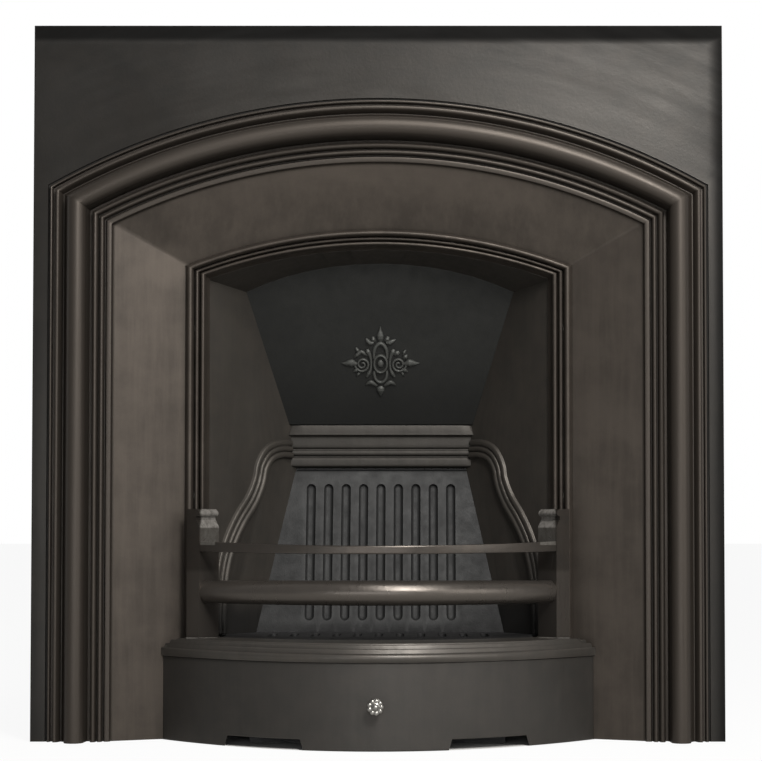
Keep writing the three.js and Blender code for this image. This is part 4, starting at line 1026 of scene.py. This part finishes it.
def post_rings():
    """The splayed angle of a post, with its slope, quirk and bead cut into the inner leg."""
    cap = [(POST_TOP - 24.5, 0), (POST_TOP - 23.5, 0.3), (POST_TOP - 16, 4.8), (POST_TOP - 15.2, 5.4),
           (POST_TOP - 14.6, 6.4), (POST_TOP - 10, 6.5)]
    middle, half = POST_TOP - 5.6, 3.9
    cap += [(middle - half * c, 4.4 - 3.6 * s) for c, s in half_circle(8)]
    cap += [(POST_TOP - 1.2, 4.6), (POST_TOP - 0.4, 4.9), (POST_TOP, 5.6)]
    rings = []
    for z, cut in [(GRATE_TOP + GAP, 0), (POST_TOP - 26, 0), *cap]:
        shift = post_corner(0, cut) - POST_ARRIS
        back = post_corner(0, POST_THICK) - POST_ARRIS
        outer_back = post_corner(POST_THICK, 0) - POST_ARRIS
        plan = [POST_OUTER, post_corner(0, cut), POST_INNER + shift, POST_INNER + back,
                post_corner(POST_THICK, POST_THICK), POST_OUTER + outer_back]
        rings.append([(p.x, p.y, z) for p in plan])
    return rings


def bar_bow(front, behind):
    """The bow of a bar whose face passes the arris of each post and ends inside it."""
    half = POST_ARRIS.x + BAR_TAIL
    return (half, front, front + (POST_ARRIS.y + behind - front) * (half / POST_ARRIS.x) ** 2)


def front_bars():
    """Two posts joined by the flat bar and the round bar, on two pegs."""
    post = Shell().loft(post_rings()).piece("fire_bars")
    other = Shell().loft(post_rings()).piece("other_post")
    other.data.transform(Matrix.Scale(-1, 4, (1, 0, 0)))
    clean(other)

    face = bar_bow(FLAT_BAR_FRONT, 0.5)
    inner = bar_bow(FLAT_BAR_FRONT + FLAT_BAR_THICK, FLAT_BAR_THICK)
    under = [(0, -1, 0.6), (0.05, -1, 0), (0.78, -1, 0), (0.94, -1, 0.5), (1, -1, 1.8)]
    section = under + [(share, 1, inset) for share, _, inset in reversed(under)]
    columns = 60
    rows = []
    for i in range(columns + 1):
        turn = 2 * i / columns - 1
        middle, tall = (a + (b - a) * turn ** 2 for a, b in (FLAT_BAR_Z, FLAT_BAR_TALL))
        x = face[0] * turn
        rows.append([(x, bow_y(blend_bow(inner, face, share), x), middle + up * (tall / 2 - inset))
                     for share, up, inset in section])
    flat = Shell().loft(rows).piece("flat_bar")

    path = bar_bow(ROUND_BAR_FRONT + ROUND_BAR_R[0], ROUND_BAR_R[1] + 6.5)
    rings = []
    for i in range(columns + 1):
        turn = 2 * i / columns - 1
        radius, height = (a + (b - a) * turn ** 2 for a, b in (ROUND_BAR_R, ROUND_BAR_Z))
        slope = 2 * (path[2] - path[1]) * turn / path[0]
        out = Vector((slope, -1)).normalized()
        x = path[0] * turn
        y = bow_y(path, x)
        rings.append([(x + out.x * radius * c, y + out.y * radius * c, height + radius * s)
                      for c, s in circle(32)])
    round_bar = Shell().loft(rings).piece("round_bar")

    combine(post, [flat, round_bar, other])
    clean(post, 22)
    peg = post_corner(POST_THICK, POST_THICK)
    pegs = Shell()
    for side in (-1, 1):
        for r, z0, z1 in ((7, GRATE_TOP + GAP, GRATE_TOP + 14), (5, GRATE_TOP - 12, GRATE_TOP + 5)):
            pegs.loft([[(side * peg.x + r * c, peg.y + r * s, z) for c, s in circle(20)] for z in (z0, z1)])
    absorb(post, [pegs.piece("pegs")])
    return finish_piece(post, "bars", "black_lead", BAR_IRON, "front_bars")


# ---------------------------------------------------------------- smoke flap with its relief
SUNK = 0.8                        # how far the foot of the relief is sunk in the plate


def on_flap(x, up, behind):
    """A point of the flap: x across, up its slope from the foot, and behind its face."""
    p = Vector((x, FLAP_FOOT_Y, FLAP_FOOT_Z)) + UP_FLAP * up + BEHIND_FLAP * behind
    return (p.x, p.y, p.z)


def stroke(shell, points, widths, heights, sides=8):
    """A carved ridge along a curve on the flap: rounded on top, with its foot sunk in the plate."""
    path = smooth_path([(x, up, 0) for x, up in points], per_span=6)
    last = len(path) - 1

    def along(values, share):
        at = share * (len(values) - 1)
        i = min(int(at), len(values) - 2)
        return values[i] + (values[i + 1] - values[i]) * (at - i)

    rings = []
    for index, (p, d) in enumerate(path):
        share = index / last
        half, tall = along(widths, share), along(heights, share)
        ridge = [(-half * c, -tall * s ** 0.6) for c, s in half_circle(sides)]
        rings.append([on_flap(p.x + a * d.y, ORNAMENT_UP + p.y - a * d.x, b)
                      for a, b in ((-half, SUNK), *ridge, (half, SUNK))])
    shell.loft(rings)


def oval(shell, rx, ru, width, tall, sides=40, section=8):
    """A rounded ring on the flap."""
    ring = [(-width * c, -tall * s) for c, s in half_circle(section)]
    shell.closed_ring([[on_flap((rx + b) * c, ORNAMENT_UP + (ru + b) * s, behind)
                        for b, behind in ((-width, SUNK), *ring, (width, SUNK))] for c, s in circle(sides)])


def dome(shell, rx, ru, tall, levels=6, sides=24):
    """A low boss in the middle of the relief."""
    rings = []
    for i in range(levels + 1):
        angle = math.pi / 2 * i / levels
        r = max(math.cos(angle), 0.03)
        rings.append([on_flap(rx * r * c, ORNAMENT_UP + ru * r * s, SUNK - (tall + SUNK) * math.sin(angle))
                      for c, s in circle(sides)])
    shell.loft(rings)


def relief():
    """A lozenge of foliage: an oval boss, a loop above and below, two scrolls with sprigs, and four buds."""
    shell = Shell()
    oval(shell, 9.1, 12.6, 2.3, 5.2)
    dome(shell, 5.3, 6.9, 3.4)
    for points, widths, heights in (
            ([(9.4, 8), (9.2, 16), (7.8, 23), (4.2, 28.4), (0, 30.6)],
             [2, 2.4, 2.8, 2.8, 3], [2.8, 3.6, 4.4, 4.6, 4.6]),
            ([(8.8, -10), (9, -16), (7.4, -22.4), (3.8, -26.4), (0, -27.6)],
             [2, 2.3, 2.4, 2.5, 2.6], [2.8, 3.6, 4, 4.2, 4.2])):
        stroke(shell, [(-x, up) for x, up in points] + points[-2::-1], widths + widths[-2::-1],
               heights + heights[-2::-1])
    stroke(shell, [(0, 33.6), (0, 37.4), (0, 42), (0, 46.4), (0, 49.6), (0, 55.4)],
           [2.8, 4.6, 5, 3.6, 2, 0.8], [2.6, 4.2, 4.8, 3.8, 2.6, 1])
    stroke(shell, [(0, -33), (0, -36), (0, -40), (0, -44.8), (0, -50.4)],
           [3.2, 5.8, 5.9, 3.6, 0.6], [2.4, 4.6, 5, 3.6, 1])
    for side, leaves in ((-1, [
            ([(8.4, 33.4), (10, 36.4), (10.6, 40.4)], [2.6, 3.4, 1.8], [3, 4.8, 2.4]),
            ([(9.6, 31.4), (14.6, 31.2), (17.8, 34), (20.4, 37.8)], [2.6, 3.4, 3.2, 1.4], [3, 4.4, 4.6, 1.8]),
            ([(30, 17), (32.6, 20.4), (35, 24.2)], [1.8, 2.8, 1.4], [2.4, 4.4, 2]),
            ([(37, 9.6), (33.6, 13), (29.4, 17), (26.8, 18.2), (23.4, 15.6), (19.8, 12.8)],
             [1.6, 3, 2.8, 2.6, 2.8, 1.8], [2, 4.2, 4, 4, 4, 2.4]),
            ([(29, -13), (32, -15.6), (34.4, -19.4)], [1.4, 2.2, 1], [1.8, 2.8, 1.2])]), (1, [
            ([(7.4, 34), (9.8, 37), (11, 40.8)], [2.6, 3.7, 2.2], [3, 4.9, 2.8]),
            ([(8, 32), (12.4, 31.6), (16.4, 33.4), (21.6, 36)], [2.6, 3.6, 3.2, 1.2], [3, 4.6, 4.6, 1.8]),
            ([(20.4, 13.4), (23.6, 16), (26.8, 18)], [2.4, 3.8, 2.6], [3, 4.8, 3]),
            ([(32.4, 13), (33.6, 17), (36.6, 21)], [1.4, 2.2, 1.2], [2, 3.6, 1.6]),
            ([(33.2, 8.4), (35.6, 10.6), (38.6, 13)], [2.4, 3.4, 1.6], [3, 4.6, 2.2]),
            ([(29.6, -12.6), (31.8, -15.4), (33.6, -18.6)], [1.4, 2, 0.9], [1.8, 2.6, 1.2])])):
        for points, widths, heights in leaves:
            stroke(shell, [(side * x, up) for x, up in points], widths, heights)
    half = Shell()
    leaves = [
        ([(18.8, 22), (17.8, 18.4), (15, 12), (13.5, 5), (13.4, -2), (14.4, -9), (17, -14.8), (20, -19.8)],
         [2, 3.8, 2.6, 1.8, 1.8, 2, 3, 2], [2.8, 5, 4, 3.2, 3.2, 3.6, 4.2, 2.6]),
        ([(5.4, -33), (9.6, -30), (14, -27.8), (18, -29.4), (22, -33)],
         [2, 3.2, 3.8, 2.8, 0.8], [2.6, 4.2, 4.8, 3.6, 1.2]),
        ([(32, -0.4), (36.2, 0.4), (40.6, 1.4), (44.6, 1.4), (49, 0.8), (56, 0.8)],
         [1.8, 3.4, 5.9, 5, 3.4, 0.9], [2.4, 3.8, 5.4, 5, 3.8, 1.2]),
        ([(31, -7.6), (35, -9.6), (38.6, -12.6)], [1.8, 3, 1.4], [2.4, 3.8, 1.8]),
    ]
    for points, widths, heights in leaves:
        stroke(half, points, widths, heights)
    turns, steps = 1.9, 30
    spiral = []
    for i in range(steps + 1):
        share = i / steps
        angle = math.pi * 0.9 + 2 * math.pi * turns * share
        reach = 11.6 * (1 - share) + 1.8 * share
        spiral.append((25.9 - reach * math.cos(angle) * 0.95, reach * math.sin(angle) - 0.6))
    stroke(half, spiral, [1.6, 2.2, 2, 1.9, 1.7, 1.6, 1.4], [2.6, 4.2, 4.2, 4.2, 4.2, 4, 3.4], sides=6)
    shell.add(half.mirror())
    return shell


def smoke_flap():
    """The flap plate with its arched head, two hinge knuckles behind and the relief on its face."""
    foot_half = cheek_half(FLAP_FOOT_Y) + FLAP_LAP
    head_half = cheek_half(FLAP_CORNER_Y) + FLAP_LAP
    crown_up = (FLAP_CORNER_Z + SOFFIT_BACK_RISE - FLAP_FOOT_Z) / UP_FLAP.z + FLAP_LAP
    slope_long = math.hypot(FLAP_FOOT_Y - FLAP_CORNER_Y, FLAP_CORNER_Z - FLAP_FOOT_Z)
    rise = crown_up - slope_long
    radius = (head_half ** 2 + rise ** 2) / (2 * rise)
    outline = [(-foot_half, 0.5), (foot_half, 0.5)]
    steps = 40
    for i in range(steps + 1):
        x = head_half * (1 - 2 * i / steps)
        outline.append((x, crown_up - radius + math.sqrt(radius ** 2 - x ** 2)))
    plate = Shell().loft([[on_flap(x, up, behind) for x, up in outline] for behind in (0, FLAP_THICK)])
    piece = soften(plate.piece("ornamented_smoke_flap"), 0.7)
    shell = relief()
    soft = 0.6
    for side in (-1, 1):
        x0, x1 = sorted(side * x for x in KNUCKLE)
        barrel = ((x0, ROD_BORE_R), (x0, KNUCKLE_R - soft), (x0 + soft, KNUCKLE_R), (x1 - soft, KNUCKLE_R),
                  (x1, KNUCKLE_R - soft), (x1, ROD_BORE_R))
        shell.closed_ring([[on_flap(x, HINGE_UP + r * c, HINGE_BEHIND + r * s) for c, s in circle(24)]
                           for x, r in barrel])
        web = [(x, HINGE_UP + up) for x, up in ((x0, -4.5), (x1, -4.5), (x1, KNUCKLE_R), (x0, KNUCKLE_R))]
        shell.loft([[on_flap(x, up, behind) for x, up in web]
                    for behind in (FLAP_THICK - 1, HINGE_BEHIND - 4.6)])
    absorb(piece, [shell.piece("relief", crease=50)])
    return finish_piece(piece, "smoke_flap", "flap_iron", FLAP_IRON, "damper_flap")


# ---------------------------------------------------------------- repeated parts made with geometry nodes
def node_group(name, inputs):
    """An empty geometry-node tree with named number inputs."""
    tree = bpy.data.node_groups.new(name, "GeometryNodeTree")
    tree.interface.new_socket("Geometry", in_out="OUTPUT", socket_type="NodeSocketGeometry")
    sockets = {}
    for label, value in inputs.items():
        kind = "NodeSocketInt" if isinstance(value, int) else "NodeSocketFloat"
        made = tree.interface.new_socket(label, in_out="INPUT", socket_type=kind)
        made.default_value = value
        sockets[label] = made.identifier
    return tree, sockets


def end_tree(tree, instances, material):
    """Ends a tree: its instances are made real and given their finish."""
    real = add_node(tree, "GeometryNodeRealizeInstances", {"Geometry": instances})
    finish = add_node(tree, "GeometryNodeSetMaterial", {"Geometry": real.outputs["Geometry"]})
    finish.inputs["Material"].default_value = material
    add_node(tree, "NodeGroupOutput", {"Geometry": finish.outputs["Geometry"]})


def run_tree(piece, tree, sockets, values):
    """Runs a node tree on a piece with some inputs set, and keeps the result as plain mesh."""
    run = piece.modifiers.new("make", "NODES")
    run.node_group = tree
    for label, value in values.items():
        run[sockets[label]] = value
    return apply_modifiers(piece)


def knob_face():
    """Nine rounded petals round a boss, instanced about the axis of the knob."""
    tree, sockets = node_group("petal_ring", {
        "Petals": 9, "Ring radius": 7.6 * MM, "Petal radius": 3.1 * MM, "Thickness": 0.62})
    given = tree.nodes.new("NodeGroupInput").outputs
    ring = add_node(tree, "GeometryNodeMeshCircle", {
        "Vertices": given["Petals"], "Radius": given["Ring radius"]})
    petal = add_node(tree, "GeometryNodeMeshIcoSphere", {"Subdivisions": 4, "Radius": given["Petal radius"]})
    flatten = add_node(tree, "ShaderNodeCombineXYZ", {"X": 1.0, "Y": 1.0, "Z": given["Thickness"]})
    spread = add_node(tree, "GeometryNodeInstanceOnPoints", {
        "Points": ring.outputs["Mesh"], "Instance": petal.outputs["Mesh"],
        "Scale": flatten.outputs["Vector"]})
    end_tree(tree, spread.outputs["Instances"], KNOB_STEEL)
    return run_tree(add_object("petals", bpy.data.meshes.new("petals")), tree, sockets, {"Petals": 9})


def cover_knob():
    """A turned stem that flares to a rose of petals with a domed boss."""
    base = COVER_FACE[1] - GAP
    boss = [(0.02, 0), (1.6, 0.15), (2.9, 0.8), (3.6, 2), (4.2, 3.4), (7.4, 4.6), (9.4, 6), (9.6, 7.4),
            (7.8, 9), (5.2, 10.6)]
    turned = [(r, -KNOB_REACH + y) for r, y in boss]
    turned += [(4.1, -12.4), (4, -10.4), (4.6, -7.8), (6.4, -6), (9, -5), (9.9, -3.8), (10, -2), (9.7, -0.6),
               (9.2, 0), (KNOB_STEM_R, 0.02), (KNOB_STEM_R, 17.6), (KNOB_STEM_R - 0.5, 18), (0.02, 18)]
    shell = Shell().loft([[(r * c, base + y, KNOB_Z + r * s) for c, s in circle(40)] for r, y in turned])
    piece = shell.piece("rose_knob", crease=40)
    petals = knob_face()
    petals.data.transform(Euler((math.pi / 2, 0, 0)).to_matrix().to_4x4())
    petals.data.transform(Matrix.Translation(place(0, base - KNOB_REACH + 5.2, KNOB_Z)))
    clean(petals, 60)
    absorb(piece, [petals])
    return finish_piece(piece, "cover", "polished_steel", KNOB_STEEL, "cover_knob")


def hexagon_bolts():
    """Hexagon-headed bolts on every bolt node's place, one instanced head and shank for each."""
    head_tall = 5.5 * MM
    bolts = sorted(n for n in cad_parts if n.endswith(("1", "2", "3", "_bolt")))
    boxes = [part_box(node) for node in bolts]
    seats = bpy.data.meshes.new("bolt_seats")
    seats.from_pydata([((low.x + high.x) / 2, high.y, (low.z + high.z) / 2) for low, high in boxes], [], [])
    low, high = boxes[0]
    tree, sockets = node_group("bolts", {
        "Head radius": 7.4 * MM, "Head height": head_tall,
        "Shank radius": 4.0 * MM, "Shank length": high.y - low.y - head_tall})
    seat = tree.interface.new_socket("Seats", in_out="INPUT", socket_type="NodeSocketGeometry")
    tree.interface.move(seat, 0)
    given = tree.nodes.new("NodeGroupInput").outputs
    parts = tree.nodes.new("GeometryNodeJoinGeometry")
    for label, vertices, height in (("Head", 6, "Head height"), ("Shank", 20, "Shank length")):
        rod = add_node(tree, "GeometryNodeMeshCylinder", {
            "Vertices": vertices, "Radius": given[f"{label} radius"], "Depth": given[height]})
        middle = reckon(tree, "MULTIPLY", given[height], -0.5)
        if label == "Shank":
            middle = reckon(tree, "SUBTRACT", middle, given["Head height"])
        shift = add_node(tree, "ShaderNodeCombineXYZ", {"Z": middle})
        moved = add_node(tree, "GeometryNodeTransform", {
            "Geometry": rod.outputs["Mesh"], "Translation": shift.outputs["Vector"]})
        tree.links.new(moved.outputs["Geometry"], parts.inputs["Geometry"])
    spread = add_node(tree, "GeometryNodeInstanceOnPoints", {
        "Points": given["Seats"], "Instance": parts.outputs["Geometry"], "Rotation": (-math.pi / 2, 0, 0)})
    end_tree(tree, spread.outputs["Instances"], BOLT_STEEL)
    piece = add_object("hexagon_bolts", seats)
    run_tree(piece, tree, sockets, {"Head height": head_tall, "Shank radius": 4.0 * MM})
    clean(piece, 30)
    soften(piece, 0.5, 50)
    return finish_piece(piece, "insert", "bolt_steel", BOLT_STEEL, *bolts)


# ---------------------------------------------------------------- finishing the plainer castings
def dressed(node, name, body, slot, material, bevel=0.0, crease=30):
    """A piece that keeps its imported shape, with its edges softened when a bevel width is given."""
    piece = cad_copy(node, name, crease)
    if bevel:
        soften(piece, bevel, 45)
        clean(piece, crease)
    return finish_piece(piece, body, slot, material, node)


front_frame()
cheek(-1)
cheek(1)
dressed("soffit_plate", "arched_soffit", "insert", "black_lead", CHEEK_IRON)
ledge()
fireback()
front_rail()
front_bars()
dressed("bottom_grate", "slotted_grate", "grate", "fire_iron", GRATE_IRON, 0.6)
smoke_flap()
dressed("flap_hinge_rod", "hinge_rod", "insert", "bolt_steel", BOLT_STEEL, 0.6)
ash_cover()
cover_knob()
dressed("cover_knob_nut", "knob_nut", "cover", "bolt_steel", BOLT_STEEL, 0.5)
dressed("ashpan", "ash_pan_tray", "pan", "pan_steel", PAN_STEEL, 0.5)
dressed("ashpan_handle", "ash_pan_grip", "pan", "pan_steel", PAN_STEEL, 1.2)
hexagon_bolts()

# ---------------------------------------------------------------- floor, light and camera
scene = bpy.context.scene


def studio_floor():
    """A pale floor that glows near white to the camera, but not in the ash pit, and keeps the soft shadow."""
    reach = 40
    corners = [(-reach, -reach, 0), (reach, -reach, 0), (reach, reach, 0), (-reach, reach, 0)]
    mesh = bpy.data.meshes.new("floor")
    mesh.from_pydata(corners, [], [(0, 1, 2, 3)])
    floor = add_object("floor", mesh)
    floor.location.z = -0.0005
    material = bpy.data.materials.new("pale_floor")
    material.use_nodes = True
    tree = material.node_tree
    nodes = tree.nodes
    shader = nodes["Principled BSDF"]
    shader.inputs["Roughness"].default_value = 0.9
    seen = nodes.new("ShaderNodeLightPath").outputs["Is Camera Ray"]
    pale = {0: seen, 6: (0.5, 0.5, 0.49), 7: (0.8, 0.8, 0.79)}
    tint = add_node(tree, "ShaderNodeMix", pale, data_type="RGBA")
    tree.links.new(tint.outputs[2], shader.inputs["Base Color"])
    x, y, _ = split(tree, nodes.new("ShaderNodeTexCoord").outputs["Object"])
    aside = reckon(tree, "ABSOLUTE", x)
    half, front, end = COVER_FACE
    bow = reckon(tree, "MULTIPLY", reckon(tree, "POWER", aside, 2), (end - front) * MM / (half * MM) ** 2)
    past_bow = reckon(tree, "SUBTRACT", y, bow)
    behind_cover = reckon(tree, "GREATER_THAN", past_bow, (front + FACE_SHIFT + 2) * MM)
    taper = reckon(tree, "MULTIPLY", reckon(tree, "MAXIMUM", reckon(tree, "ADD", y, 0.005), 0), 0.85)
    between_cheeks = reckon(tree, "LESS_THAN", reckon(tree, "ADD", aside, taper), 0.297)
    before_back = reckon(tree, "LESS_THAN", y, 0.112)
    pit = reckon(tree, "MULTIPLY", reckon(tree, "MULTIPLY", behind_cover, between_cheeks), before_back)
    glow = nodes.new("ShaderNodeEmission").outputs["Emission"]
    share = reckon(tree, "MULTIPLY", reckon(tree, "MULTIPLY", seen, 0.92), reckon(tree, "SUBTRACT", 1, pit))
    mixed = add_node(tree, "ShaderNodeMixShader", {0: share, 1: shader.outputs["BSDF"], 2: glow})
    tree.links.new(mixed.outputs["Shader"], nodes["Material Output"].inputs["Surface"])
    mesh.materials.append(material)


def studio_world():
    """White to the camera; in reflections white behind the object and darker before it; soft as light."""
    world = bpy.data.worlds.new("studio")
    world.use_nodes = True
    tree = world.node_tree
    rays = tree.nodes.new("ShaderNodeLightPath").outputs
    _, depth, _ = split(tree, tree.nodes.new("ShaderNodeTexCoord").outputs["Generated"])
    seen = reckon(tree, "MAXIMUM", rays["Is Camera Ray"], rays["Is Transmission Ray"])
    mirrored = reckon(tree, "MULTIPLY", rays["Is Glossy Ray"], remap(tree, depth, -0.15, 0.35, 0.22, 1.0))
    lit = remap(tree, rays["Is Diffuse Ray"], 0, 1, 0, 0.25)
    background = tree.nodes["Background"]
    strength = reckon(tree, "MAXIMUM", seen, reckon(tree, "MAXIMUM", mirrored, lit))
    tree.links.new(strength, background.inputs["Strength"])
    background.inputs["Color"].default_value = (1, 1, 1, 1)
    scene.world = world


def lamp(name, spot, target, size, power, colour=(1, 1, 1)):
    """A rectangular lamp, aimed at a target."""
    data = bpy.data.lights.new(name, "AREA")
    data.energy = power
    data.shape = "RECTANGLE"
    data.size, data.size_y = size
    data.color = colour
    light = add_object(name, data)
    light.location = spot
    light.rotation_euler = (Vector(target) - Vector(spot)).to_track_quat("-Z", "Y").to_euler()


def camera():
    """The camera of the photograph: how far off, how high, how far aside, and how much it looks up."""
    distance, height, side, tilt = 2.8, 0.283, 0.060, 2.05
    data = bpy.data.cameras.new("photo_view")
    data.sensor_width = 36
    data.lens = 98.55
    data.shift_x = -0.0546
    data.shift_y = 0.098
    view = add_object("photo_view", data)
    view.location = (side, FACE_SHIFT * MM - distance, height)
    view.rotation_euler = (math.radians(90 + tilt), 0, 0)
    scene.camera = view


studio_floor()
studio_world()
camera()
lamp("key", (0.8, -2.6, 1.95), (0, 0, 0.5), (0.5, 0.9), 80, (1, 0.975, 0.94))
lamp("high", (0.5, -1.6, 2.6), (0, 0, 0.5), (0.8, 0.9), 34, (1, 0.975, 0.94))
lamp("side", (2.3, -1.9, 0.9), (0, 0, 0.4), (1.6, 1.6), 18, (1, 0.97, 0.93))
lamp("low", (-0.2, -2.4, 0.3), (0, 0, 0.4), (1.8, 0.4), 8)
scene.view_settings.view_transform = "Standard"
